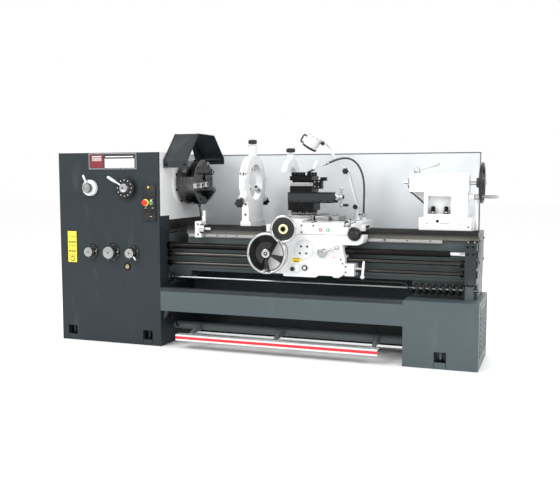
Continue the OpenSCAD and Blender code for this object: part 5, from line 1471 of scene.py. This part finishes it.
    def build_follow_rest(self) -> None:
        """Add black knobs and steel finger tips to the follow rest."""
        piece = Piece("follow_rest_knobs", Finish.BLACK)
        axis = spindle_line()
        top = Datum.at(1604, 355, 1318)
        top.y = axis.y
        piece.star_knob(top, Axis.Z.value, 31.5 * MM, 30 * MM)
        rear = Datum.at(1604, 545.5, 1118)
        rear.z = axis.z
        piece.star_knob(rear, Axis.Y.value, 31.5 * MM, 28 * MM)
        piece.use(Finish.CHROME)
        piece.lathe(top + Vector((0, 0, -20 * MM)), Axis.Z.value, [(11 * MM, 0), (11 * MM, 21 * MM)], 24)
        piece.use(Finish.BLACK_STEEL)
        for z in (1228, 1254):
            piece.screw(Datum.at(1604, 329, z), Axis.FRONT.value, 5 * MM, 4 * MM)
        piece.place("carriage", slot="black_plastic", crease=50)


@dataclass
class Slides:
    """Cross slide, swivelling compound, top slide and the four-way tool post."""

    swivel_x: float = 1714.0
    swivel_y: float = 316.0
    post_half: float = 76.0

    def build(self) -> None:
        """Dress the slides and build their trims."""
        dress(Finish.STEEL, "cross_slide")
        dress(Finish.BLACK_STEEL, "compound_base", "tool_post")
        dress(Finish.IRON, "top_slide")
        self.build_cross_slide()
        self.build_compound()
        self.build_crank()
        self.build_tool_post()
        self.build_clamp_handle()

    def build_cross_slide(self) -> None:
        """Add the front plate with its corner screws, and a row of screws along the slide's right side."""
        plate = Piece("cross_slide_plate", Finish.STEEL)
        plate.block(Datum.at(1628, 239, 866), Datum.at(1800, 244.9, 900))
        plate.use(Finish.BLACK_STEEL)
        for x in (1640, 1788):
            for z in (873, 893):
                plate.screw(Datum.at(x, 239, z), Axis.FRONT.value, 4.5 * MM, 3 * MM)
        for y in (300, 360, 420, 480, 540):
            plate.screw(Datum.at(1804, y, 888), Axis.X.value, 4.5 * MM, 3 * MM)
        plate.place("cross_slide", slot="bright_steel", bevel=0.8 * MM)

    def build_compound(self) -> None:
        """Add the swivel's graduated ring, gib screws and the slide's dark front cap."""
        ring = Piece("swivel_scale", Finish.BLACK_STEEL)
        at = Datum.at(self.swivel_x, self.swivel_y, 905)
        ring.lathe(at, Axis.Z.value, [(88 * MM, 0), (90 * MM, 1 * MM), (90 * MM, 22 * MM), (88.5 * MM, 23 * MM)], 72)
        ring.use(Finish.PLATE)
        for k in range(48):
            a = TURN * k / 48
            out = Vector((math.cos(a), math.sin(a), 0))
            tall = 17 if k % 4 == 0 else 11
            foot = at + out * 90 * MM + Vector((0, 0, 3 * MM))
            ring.block(foot + Vector((-0.7, -0.7, 0)) * MM, foot + Vector((0.7, 0.7, tall)) * MM)
        ring.use(Finish.BLACK_STEEL)
        for x in (-78, 78):
            for y in (-60, 60):
                ring.nut(Datum.at(self.swivel_x + x * 0.72, self.swivel_y + y * 1.32, 903.2), Axis.Z.value, 12 * MM, 1.2 * MM)
        ring.place("compound", slot="black_oxide")
        gib = Piece("top_slide_trims", Finish.BLACK_STEEL)
        for x in (1650, 1700, 1750, 1800, 1850, 1900):
            gib.screw(Datum.at(x, 242, 998), Axis.FRONT.value, 4.5 * MM, 3 * MM)
        gib.use(Finish.BLACK_STEEL)
        gib.block(Datum.at(1622, 240.5, 1046), Datum.at(1929, 242.2, 1052.5))
        gib.block(Datum.at(1622, 240.5, 984), Datum.at(1929, 242.2, 990))
        gib.place("top_slide", slot="bright_steel", bevel=0.4 * MM)

    def build_crank(self) -> None:
        """Build the top slide's chrome dial, ball crank and grip."""
        piece = Piece("top_slide_crank_parts", Finish.CHROME)
        y, z = self.swivel_y, 1023
        piece.lathe(Datum.at(1930.4, y, z), Axis.X.value, [(27 * MM, 0), (29 * MM, 2 * MM), (29 * MM, 16 * MM), (24 * MM, 20 * MM), (22 * MM, 30 * MM), (12 * MM, 34 * MM)], 44)
        piece.use(Finish.INK)
        for k in range(30):
            a = TURN * k / 30
            out = Vector((0, math.cos(a), math.sin(a)))
            p = Datum.at(1934, y, z) + out * 29 * MM
            piece.block(p - Vector((0, 0.5, 0.5)) * MM, p + Vector((5, 0.5, 0.5)) * MM)
        piece.use(Finish.CHROME)
        piece.rod(Datum.at(1958, y, z), Datum.at(1982, y, z), 14 * MM)
        piece.rod(Datum.at(1972, y, z - 50), Datum.at(1972, y, z + 50), 7 * MM)
        piece.ball(Datum.at(1972, y, z - 54), 13 * MM)
        piece.ball(Datum.at(1972, y, z + 54), 11 * MM)
        piece.use(Finish.BLACK)
        piece.lathe(Datum.at(1982, y, z), Axis.X.value, [(14 * MM, 0), (13 * MM, 5 * MM), (6 * MM, 8 * MM)], 24)
        piece.lathe(Datum.at(1982, y, z - 54), Axis.X.value, [(5 * MM, 0), (8 * MM, 3 * MM), (10 * MM, 24 * MM), (7 * MM, 36 * MM), (3 * MM, 40 * MM)], 24)
        piece.place("top_slide_crank", replaces=["top_slide_crank"], slot="chrome_trim", crease=42)

    def build_tool_post(self) -> None:
        """Add square-head screws, tool shanks and their tips to the post."""
        piece = Piece("tool_post_screws", Finish.BLACK_STEEL)
        h = self.post_half - 15
        spots = [(-h, -h), (-h / 3, -h), (h / 3, -h), (h, -h), (h, -h / 3), (h, h / 3), (h, h), (h / 3, h), (-h / 3, h), (-h, h), (-h, h / 3), (-h, -h / 3)]
        for dx, dy in spots:
            foot = Datum.at(self.swivel_x + dx, self.swivel_y + dy, 1159)
            piece.lathe(foot, Axis.Z.value, [(8 * MM, 0), (8 * MM, 9 * MM)], 16)
            piece.block(foot + Vector((-7, -7, 9)) * MM, foot + Vector((7, 7, 26)) * MM)
        for z0, z1 in ((1053.6, 1058), (1155, 1159.5)):
            piece.block(Datum.at(self.swivel_x - 76.6, self.swivel_y - 76.6, z0), Datum.at(self.swivel_x + 76.6, self.swivel_y + 76.6, z1))
        piece.use(Finish.STEEL)
        piece.block(Datum.at(1642, 243, 1094), Datum.at(1846, 267, 1117))
        piece.block(Datum.at(1620, 364.5, 1094), Datum.at(1780, 388.5, 1117))
        piece.use(Finish.BLACK_STEEL)
        piece.block(Datum.at(1800, 238, 1076), Datum.at(1856, 290, 1136))
        piece.block(Datum.at(1846, 246, 1128), Datum.at(1884, 282, 1152))
        piece.use(Finish.STEEL)
        for x in (1812, 1838):
            for z in (1090, 1122):
                piece.screw(Datum.at(x, 238, z), Axis.FRONT.value, 4 * MM, 3 * MM)
        piece.use(Finish.BRASS)
        piece.slab([(1.0, 0.0), (1.0, 0.0)] and [(Datum.at(1612, 0, 0).x, 1.104), (Datum.at(1626, 0, 0).x, 1.1176), (Datum.at(1626, 0, 0).x, 1.098)], Axis.Y, Datum.at(0, 366, 0).y, Datum.at(0, 384, 0).y)
        piece.place("tool_post", slot="black_oxide", bevel=0.8 * MM)

    def build_clamp_handle(self) -> None:
        """Build the clamping handle on top of the post."""
        at = Datum.at(self.swivel_x, self.swivel_y, 1159.4)
        piece = Piece("clamp_handle_parts", Finish.CHROME)
        piece.lathe(at, Axis.Z.value, [(28 * MM, 0), (30 * MM, 2 * MM), (30 * MM, 18 * MM), (24 * MM, 27 * MM), (10 * MM, 30 * MM)], 44)
        a = Datum.at(self.swivel_x + 8, self.swivel_y, 1178)
        b = Datum.at(self.swivel_x + 72, self.swivel_y - 20, 1205)
        c = Datum.at(self.swivel_x + 92, self.swivel_y - 26, 1252)
        piece.rod(a, b, 8.5 * MM, 8.5 * MM)
        piece.ball(b, 10 * MM)
        piece.use(Finish.WHITE)
        piece.lathe(b, c - b, [(8 * MM, 2 * MM), (10 * MM, 12 * MM), (12 * MM, 36 * MM), (11 * MM, 52 * MM), (6 * MM, 60 * MM)], 24)
        piece.place("tool_post_handle", replaces=["tool_post_handle"], slot="bright_steel")


@dataclass
class LampAndCoolant:
    """Jointed work lamp and the coolant hose beside it."""

    lamp_y: float = 505.0
    pivot: tuple[float, float] = (2027.0, 953.0)
    elbow: tuple[float, float] = (1959.0, 1193.0)
    head: tuple[float, float] = (1791.0, 1383.0)
    drum_r: float = 52.0

    def build(self) -> None:
        """Build the arms, the head and the hose."""
        dress(Finish.WHITE, "lamp_lower_arm", "lamp_upper_arm")
        self.build_arms()
        self.build_head()
        self.build_hose()

    def build_arms(self) -> None:
        """Add knobs, springs and the thin second rod to the arms."""
        y = self.lamp_y
        lower = Piece("lamp_pivot_knob", Finish.BLACK)
        lower.star_knob(Datum.at(self.pivot[0], y - 33.5, self.pivot[1]), Axis.FRONT.value, 19 * MM, 16 * MM)
        lower.use(Finish.STEEL)
        lower.tube(Datum.path([(self.pivot[0] + 14, y - 4, self.pivot[1] + 6), (self.elbow[0] + 19, y - 4, self.elbow[1] - 8)]), 2.4 * MM, 10)
        lower.place("lamp_lower_arm", slot="black_plastic", crease=50)
        upper = Piece("lamp_elbow_knob", Finish.BLACK)
        upper.star_knob(Datum.at(self.elbow[0], y - 41.5, self.elbow[1]), Axis.FRONT.value, 23 * MM, 17 * MM)
        upper.star_knob(Datum.at(self.head[0], y - 21.5, self.head[1]), Axis.FRONT.value, 16 * MM, 13 * MM)
        upper.use(Finish.STEEL)
        a, b = Datum.at(self.elbow[0], y, self.elbow[1]), Datum.at(self.head[0], y, self.head[1])
        line = (b - a).normalized()
        side = line.cross(Vector((0, 1, 0)))
        coil = []
        for k in range(22 * 8 + 1):
            t, phi = k / (22 * 8), TURN * k / 8
            coil.append(a + line * (0.05 + 0.09 * t) + (side * math.cos(phi) + Vector((0, 1, 0)) * math.sin(phi)) * 5 * MM)
        upper.tube(coil, 0.9 * MM, 6)
        upper.use(Finish.BLACK)
        wire = Datum.path([(self.elbow[0] - 6, y + 26, self.elbow[1] + 10), (self.elbow[0] - 78, y + 30, self.elbow[1] + 86), (self.head[0] + 14, y + 26, self.head[1] - 8)], 8)
        upper.tube(wire, 2.6 * MM, 8)
        upper.place("lamp_upper_arm", slot="black_plastic", crease=50)

    def build_head(self) -> None:
        """Build the lamp's white drum with its black handle, ring, cooling slots and lens."""
        tilt = math.radians(212)
        facing = Vector((math.sin(tilt), 0, math.cos(tilt)))
        centre = Datum.at(self.head[0] - 78, self.lamp_y, self.head[1] + 14)
        r = self.drum_r * MM
        drum = Piece("lamp_drum", Finish.WHITE)
        drum.lathe(centre, facing, [(3 * MM, -52 * MM), (30 * MM, -51 * MM), (40 * MM, -45 * MM), (47 * MM, -36 * MM), (51 * MM, -20 * MM), (r, -8 * MM), (r, 40 * MM)], 64)
        drum.use(Finish.BLACK)
        drum.lathe(centre, facing, [(r - 1 * MM, 38 * MM), (r + 1.2 * MM, 39 * MM), (r + 1.2 * MM, 50 * MM), (r - 1 * MM, 53 * MM), (r - 7 * MM, 53 * MM), (r - 8 * MM, 47 * MM)], 64)
        drum.use(Finish.LENS).lathe(centre, facing, [(r - 7 * MM, 44 * MM), (r - 8 * MM, 48 * MM), (28 * MM, 49.5 * MM), (2 * MM, 50.5 * MM)], 48)
        drum.use(Finish.BLACK)
        for k in range(10):
            a = TURN * k / 10
            turn = frame_on(facing)
            p = centre + facing * -40 * MM + turn @ Vector((math.cos(a), math.sin(a), 0)) * 44.5 * MM
            q = centre + facing * -28 * MM + turn @ Vector((math.cos(a), math.sin(a), 0)) * 49.2 * MM
            drum.rod(p, q, 2.4 * MM, sides=8)
        out = Vector((math.cos(tilt), 0, -math.sin(tilt)))
        stations = [(50, -8), (74, -12), (79, 0), (79, 30), (74, 44), (50, 38)]
        route = [centre + out * u * MM + facing * v * MM for u, v in stations]
        smooth = []
        for p, q in zip(route, route[1:]):
            smooth += [p.lerp(q, t / 4) for t in range(4)]
        drum.tube(smooth + [route[-1]], 5.5 * MM, 14)
        joint = Datum.at(self.head[0], self.lamp_y, self.head[1])
        drum.use(Finish.WHITE)
        drum.lathe(joint + Vector((0, -12 * MM, 0)), Axis.Y.value, [(12 * MM, 0), (14 * MM, 2 * MM), (14 * MM, 22 * MM), (12 * MM, 24 * MM)], 28)
        drum.rod(joint, centre + Vector((28 * MM, 0, -4 * MM)), 9 * MM)
        drum.place("lamp_head", replaces=["lamp_head"], slot="white_paint", crease=42)

    def build_hose(self) -> None:
        """Build the stiff ribbed hose, its cock and its nozzle."""
        route = Datum.path(
            [(2065, 548, 884), (2066, 548, 960), (2068, 546, 1040), (2067, 541, 1110), (2058, 531, 1170), (2040, 516, 1220),
             (2014, 499, 1256), (1982, 482, 1276), (1946, 466, 1280), (1910, 452, 1273), (1876, 439, 1260), (1848, 428, 1247)],
            16,
        )
        hose = Piece("coolant_hose", Finish.HOSE)
        hose.tube(route, 7.6 * MM, 14, ribs=0.9 * MM)
        hose.use(Finish.STEEL)
        start, end = Datum.at(1852, 429.6, 1248.5), Datum.at(1811, 417, 1231.5)
        hose.lathe(start, end - start, [(8 * MM, 0), (9.5 * MM, 1 * MM), (9.5 * MM, 12 * MM), (7 * MM, 14 * MM), (5 * MM, 44 * MM), (3.4 * MM, 44.5 * MM)], 24)
        foot = Datum.at(2065, 548, 881)
        hose.lathe(foot, Axis.Z.value, [(13 * MM, 0.2 * MM), (13 * MM, 10 * MM), (9.5 * MM, 13 * MM), (9.5 * MM, 24 * MM)], 6)
        hose.rod(foot + Vector((-22, 0, 17)) * MM, foot + Vector((22, 0, 17)) * MM, 4 * MM)
        hose.use(Finish.BLACK).rod(foot + Vector((-24, 0, 17)) * MM, foot + Vector((-40, 0, 17)) * MM, 6 * MM)
        hose.place("carriage", replaces=["coolant_pipe"], slot="slate_paint", crease=60)


@dataclass
class SteadyRest:
    """Steady rest with its opening top, and the carriage stop beside it."""

    x: float = 1327.0
    knob_r: float = 31.5

    def build(self) -> None:
        """Dress both halves and add their knobs, fingers and clamp."""
        dress(Finish.WHITE_CASTING, "steady_rest", "steady_top")
        dress(Finish.WHITE_CASTING, "carriage_stop")
        axis = spindle_line()
        hub = Vector((Datum.at(self.x, 0, 0).x, axis.y, axis.z))
        lower = Piece("steady_lower_knobs", Finish.BLACK)
        for degrees in (-150, -30):
            a = math.radians(degrees)
            out = Vector((0, math.cos(a), math.sin(a)))
            lower.use(Finish.BLACK).star_knob(hub + out * 261 * MM, out, self.knob_r * MM, 30 * MM)
            lower.use(Finish.STEEL).lathe(hub + out * 236 * MM, out, [(20 * MM, 0), (20 * MM, 5 * MM), (12 * MM, 8 * MM)], 36)
            lower.lathe(hub + out * 236 * MM, out, [(9 * MM, 0), (9 * MM, 30 * MM)], 20)
            lower.use(Finish.ROD).lathe(hub + out * 64 * MM, out, [(9 * MM, 0), (15 * MM, 3 * MM), (17.4 * MM, 16 * MM)], 28)
            lower.use(Finish.STEEL).lathe(hub + out * 79 * MM, out, [(17.4 * MM, 0), (17.4 * MM, 45 * MM)], 28)
        lower.use(Finish.BLACK_STEEL)
        for z in (1060, 990):
            lower.screw(Datum.at(self.x, 221, z - 90), Axis.FRONT.value, 7 * MM, 5 * MM)
        lower.nut(Datum.at(self.x, 222, 856.5), Axis.Z.value, 1 * MM, 1 * MM)
        for x in (1296, 1358):
            lower.screw(Datum.at(x, 236, 856.4), Axis.Z.value, 4.6 * MM, 4 * MM)
        lower.place("steady", slot="black_plastic", crease=50)
        top = Piece("steady_top_knobs", Finish.BLACK)
        top.star_knob(hub + Vector((0, 0, 0.261)), Axis.Z.value, self.knob_r * MM, 30 * MM)
        clamp = Datum.at(self.x, 180, 0)
        clamp.z = axis.z + 50 * MM
        top.star_knob(clamp, Axis.Z.value, 23 * MM, 17 * MM)
        top.use(Finish.CHROME).lathe(hub + Vector((0, 0, 0.250)), Axis.Z.value, [(30 * MM, 0), (30 * MM, 4.4 * MM), (9 * MM, 7 * MM), (9 * MM, 18 * MM)], 36)
        top.use(Finish.ROD).lathe(hub + Vector((0, 0, 0.064)), Axis.Z.value, [(9 * MM, 0), (15 * MM, 3 * MM), (17.4 * MM, 16 * MM)], 28)
        top.use(Finish.STEEL).lathe(hub + Vector((0, 0, 0.079)), Axis.Z.value, [(17.4 * MM, 0), (17.4 * MM, 45 * MM)], 28)
        top.use(Finish.BLACK_STEEL)
        top.screw(hub + Vector((-26 * MM, -0.05, 0.138)), Axis.LEFT.value, 6 * MM, 4 * MM)
        top.place("steady_top", slot="black_plastic", crease=50)
        stop = Piece("stop_dial", Finish.CHROME)
        disc = Datum.at(1030, 144, 804)
        stop.lathe(disc, Axis.X.value, [(32 * MM, 1 * MM), (33.6 * MM, 2 * MM), (33.6 * MM, 31 * MM), (31 * MM, 33.6 * MM), (8 * MM, 34 * MM)], 48)
        stop.use(Finish.INK)
        for k in range(40):
            a = TURN * k / 40
            p = disc + Vector((4 * MM, 33.6 * MM * math.cos(a), 33.6 * MM * math.sin(a)))
            stop.block(p - Vector((0, 0.5, 0.5)) * MM, p + Vector((7 if k % 5 else 11, 0.5, 0.5)) * MM)
        stop.use(Finish.BLACK).ball(Datum.at(998, 190, 960), 12.4 * MM)
        stop.rod(Datum.at(1014, 190, 856), Datum.at(999, 190, 956), 6 * MM)
        stop.use(Finish.BLACK_STEEL)
        for z in (764, 834):
            stop.screw(Datum.at(1008, 146, z), Axis.FRONT.value, 6 * MM, 4 * MM)
        stop.place("carriage_stop", slot="chrome_trim")


@dataclass
class Tailstock:
    """Tailstock body, quill, levers and handwheel."""

    wheel_r: float = 120.0
    wheel_x: float = 2866.0

    def build(self) -> None:
        """Dress the body and build its controls."""
        dress(Finish.WHITE_CASTING, "tailstock")
        dress(Finish.CHROME, "quill")
        self.build_body_trims()
        self.build_wheel()
        self.build_levers()

    def build_body_trims(self) -> None:
        """Add the clamp nuts, plug, index lines and barrel cap."""
        body = Piece("tailstock_trims", Finish.BLACK_STEEL)
        for x in (2571, 2653):
            at = Datum.at(x, 321, 921.5)
            body.lathe(at, Axis.Z.value, [(22 * MM, 0), (22 * MM, 5 * MM), (19 * MM, 8 * MM), (13 * MM, 26 * MM), (13 * MM, 44 * MM), (9 * MM, 47 * MM)], 6)
        body.screw(Datum.at(2614, 220, 880), Axis.FRONT.value, 9 * MM, 5 * MM)
        body.screw(Datum.at(2802, 222, 846), Axis.FRONT.value, 6 * MM, 4 * MM)
        body.use(Finish.INK)
        for x0, x1 in ((2630, 2688), (2738, 2764), (2538, 2558)):
            body.block(Datum.at(x0, 219.3, 864), Datum.at(x1, 219.9, 866.6))
        body.use(Finish.BLACK)
        body.block(Datum.at(2494, 228, 816), Datum.at(2497.8, 258, 840))
        body.block(Datum.at(2494, 450, 816), Datum.at(2497.8, 486, 840))
        # Black strip sloping under the barrel's left end: painted shadow of the casting's fillet.
        body.tube([Datum.at(2424, 322, 1056), Datum.at(2440, 322, 1050), Datum.at(2514, 322, 986)], 5 * MM, 10)
        body.use(Finish.STEEL)
        axis = spindle_line()
        at = Vector((Datum.at(2421, 0, 0).x, axis.y, axis.z))
        body.lathe(at, Axis.LEFT.value, [(57 * MM, -2 * MM), (57.6 * MM, 0), (55 * MM, 4 * MM), (39 * MM, 5 * MM)], 56)
        body.use(Finish.BLACK_STEEL)
        for k in range(4):
            a = TURN * (k + 0.5) / 4
            body.screw(at + Vector((-4 * MM, 47 * MM * math.cos(a), 47 * MM * math.sin(a))), Axis.LEFT.value, 4.4 * MM, 3 * MM)
        body.use(Finish.BRASS).lathe(Datum.at(2600, 355, 1175), Axis.Z.value, [(6 * MM, -6 * MM), (6 * MM, 5 * MM), (4 * MM, 8 * MM)], 16)
        body.place("tailstock", slot="bright_steel", bevel=0.4 * MM)

    def build_wheel(self) -> None:
        """Build the handwheel: dark rim, spokes, chrome hub and silver grip."""
        axis = spindle_line()
        at = Vector((Datum.at(self.wheel_x, 0, 0).x, axis.y, axis.z))
        wheel = Piece("tail_wheel_parts", Finish.BLACK)
        wheel.ring(at, Axis.X.value, (self.wheel_r - 1) * MM, 11.5 * MM, 0.9)
        for k in range(3):
            a = TURN * (k / 3) + math.radians(30)
            out = Vector((0, math.cos(a), math.sin(a)))
            wheel.rod(at + out * 22 * MM, at + out * 112 * MM, 13 * MM, 9 * MM)
        wheel.lathe(at, Axis.X.value, [(30 * MM, -33 * MM), (32 * MM, -30 * MM), (32 * MM, 8 * MM), (28 * MM, 17 * MM)], 44)
        wheel.use(Finish.CHROME).lathe(at, Axis.X.value, [(22 * MM, 15 * MM), (22 * MM, 21 * MM), (12 * MM, 26 * MM)], 6)
        wheel.rod(at + Vector((-0.175, 0, 0)), at + Vector((0.002, 0, 0)), 16 * MM)
        grip = at + Vector((8, -44, -86)) * MM
        wheel.use(Finish.STEEL).lathe(grip, Axis.X.value, [(5 * MM, -8 * MM), (6 * MM, 0), (8.5 * MM, 3 * MM), (10 * MM, 20 * MM), (12.6 * MM, 52 * MM), (12 * MM, 78 * MM), (8 * MM, 92 * MM), (3 * MM, 96 * MM)], 24)
        wheel.place("tail_handwheel", replaces=["tail_handwheel"], slot="chrome_trim")

    def build_levers(self) -> None:
        """Build the quill lock on top and the bed clamp lever at the end."""
        axis = spindle_line()
        at = Datum.at(2461, 355, 0)
        at.y = axis.y
        lock = Piece("quill_lock_parts", Finish.CHROME)
        base = Vector((at.x, at.y, axis.z))
        lock.lathe(base + Vector((0, 0, 60.4)) * MM, Axis.Z.value, [(18 * MM, 0), (19.5 * MM, 2 * MM), (19.5 * MM, 26 * MM), (15 * MM, 33 * MM), (4 * MM, 34 * MM)], 32)
        lock.rod(base + Vector((0, 0, 39)) * MM, base + Vector((0, 0, 62)) * MM, 9 * MM)
        start, end = base + Vector((10, 0, 80)) * MM, base + Vector((138, -8, 120)) * MM
        lock.lathe(start, end - start, [(6 * MM, 0), (6.5 * MM, 60 * MM), (9 * MM, 80 * MM), (12 * MM, 120 * MM), (11 * MM, 132 * MM), (5 * MM, 139 * MM)], 24)
        lock.place("quill_lever", replaces=["quill_lever"], slot="chrome_trim")
        clamp = Piece("tail_clamp_parts", Finish.CHROME)
        y, z = 337, 1030
        clamp.rod(Datum.at(2790, y, z), Datum.at(2850, y, z), 10 * MM)
        clamp.lathe(Datum.at(2824, y, z), Axis.X.value, [(17 * MM, 0), (18.5 * MM, 2 * MM), (18.5 * MM, 26 * MM), (14 * MM, 29 * MM)], 32)
        clamp.use(Finish.WHITE)
        top, foot = Datum.at(2838, y, z + 34), Datum.at(2838, y, z - 206)
        length = (foot - top).length
        clamp.lathe(top, foot - top, [(5 * MM, -4 * MM), (9 * MM, 2 * MM), (9 * MM, length * 0.3), (8 * MM, length * 0.55), (11.6 * MM, length * 0.7), (12 * MM, length * 0.95), (7 * MM, length + 4 * MM)], 24)
        clamp.place("tail_clamp_lever", replaces=["tail_clamp_lever"], slot="white_paint")


@dataclass
class CoiledCable:
    """Retractile cable that hangs on the guide bar between the bracket and the carriage."""

    coil_r: float = 26.5
    wire_r: float = 9.5
    turns: int = 8

    def build(self) -> None:
        """Build the coil and its straight run between the frame and the carriage."""
        start, end = Datum.at(2797, 140, 466), Datum.at(2472, 140, 466)
        r = self.coil_r * MM
        route = []
        steps = self.turns * 28
        for k in range(steps + 1):
            t, a = k / steps, -TURN * k / 28 + math.pi
            route.append(start.lerp(end, t) + Vector((0, r * math.cos(a), r * math.sin(a))))
        piece = Piece("coiled_cable", Finish.RUBBER)
        piece.tube(route, self.wire_r * MM, 12)
        last = route[-1]
        run = [last, last + Vector((-12, 8, 3)) * MM, Datum.at(2440, 132, 492), Datum.at(2400, 140, 496)]
        run += [Datum.at(2400 - 66 * i, 140, 496) for i in range(1, 6)] + [Datum.at(2012, 140, 497), Datum.at(2005, 140, 505), Datum.at(2005, 140, 518.4)]
        piece.tube(run, 5.2 * MM, 12)
        coil = piece.place(None, replaces=["curly_cable"], slot="black_plastic", crease=60)
        Datum.at(2802, 140, 466)
        Datum.at(2472, 140, 466)
        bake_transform(coil)


# Studio ------------------------------------------------------------------------------


@dataclass
class Studio:
    """Floor, lights, world and camera."""

    camera_at: tuple[float, float, float] = (1.839, -4.901, 1.141)
    pitch: float = -5.42
    turn: float = 19.93
    focal_length: float = 49.54

    def build(self) -> None:
        """Set up the studio round the machine."""
        self.build_floor()
        self.build_world()
        self.add_light("key", (-2.6, -4.2, 4.6), (0.0, 0.1, 0.8), 3.2, 250.0)
        self.add_light("fill", (4.6, -3.2, 3.0), (0.2, 0.0, 0.7), 3.0, 120.0)
        self.add_light("back", (0.4, 3.6, 4.0), (0.0, 0.3, 0.9), 3.4, 130.0)
        self.add_camera()

    def build_floor(self) -> None:
        """Lay the pale floor."""
        floor = Piece("floor", Finish.PLATE)
        half = 30.0
        floor.face([floor.bm.verts.new(p) for p in ((-half, -half, 0), (half, -half, 0), (half, half, 0), (-half, half, 0))])
        obj = floor.place(None)
        obj.data.materials[0] = Floor().build()

    def build_world(self) -> None:
        """Fill the sky with soft white light."""
        bpy.context.scene.view_settings.view_transform = "Standard"
        world = bpy.data.worlds.new("studio_world")
        world.use_nodes = True
        background = world.node_tree.nodes["Background"]
        background.inputs["Color"].default_value = (1.0, 1.0, 1.0, 1.0)
        background.inputs["Strength"].default_value = 1.0
        bpy.context.scene.world = world

    def add_light(self, name: str, at: Point, target: Point, size: float, power: float) -> None:
        """Hang a square soft light.

        Args:
            name: its name.
            at: where it hangs.
            target: the point it faces.
            size: side of the square in metres.
            power: watts.
        """
        data = bpy.data.lights.new(name, "AREA")
        data.size, data.energy = size, power
        light = bpy.data.objects.new(name, data)
        light.location = at
        light.rotation_euler = (Vector(target) - Vector(at)).to_track_quat("-Z", "Y").to_euler()
        bpy.context.scene.collection.objects.link(light)

    def add_camera(self) -> None:
        """Stand the camera to the right of the machine's front."""
        data = bpy.data.cameras.new("camera")
        data.lens, data.sensor_width = self.focal_length, 36.0
        camera = bpy.data.objects.new("camera", data)
        camera.location = self.camera_at
        camera.rotation_euler = (math.radians(90 + self.pitch), 0.0, math.radians(self.turn))
        bpy.context.scene.collection.objects.link(camera)
        bpy.context.scene.camera = camera


def main() -> None:
    """Build every sub-assembly, then the studio."""
    logging.basicConfig(level=logging.INFO, format="%(name)s %(message)s")
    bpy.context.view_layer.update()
    parts = (Stand(), Headstock(), Bed(), Chuck(), Carriage(), Slides(), LampAndCoolant(), SteadyRest(), Tailstock(), CoiledCable())
    for part in parts:
        log.info("building %s", type(part).__name__)
        part.build()
    Studio().build()


if __name__ == "__main__":
    main()
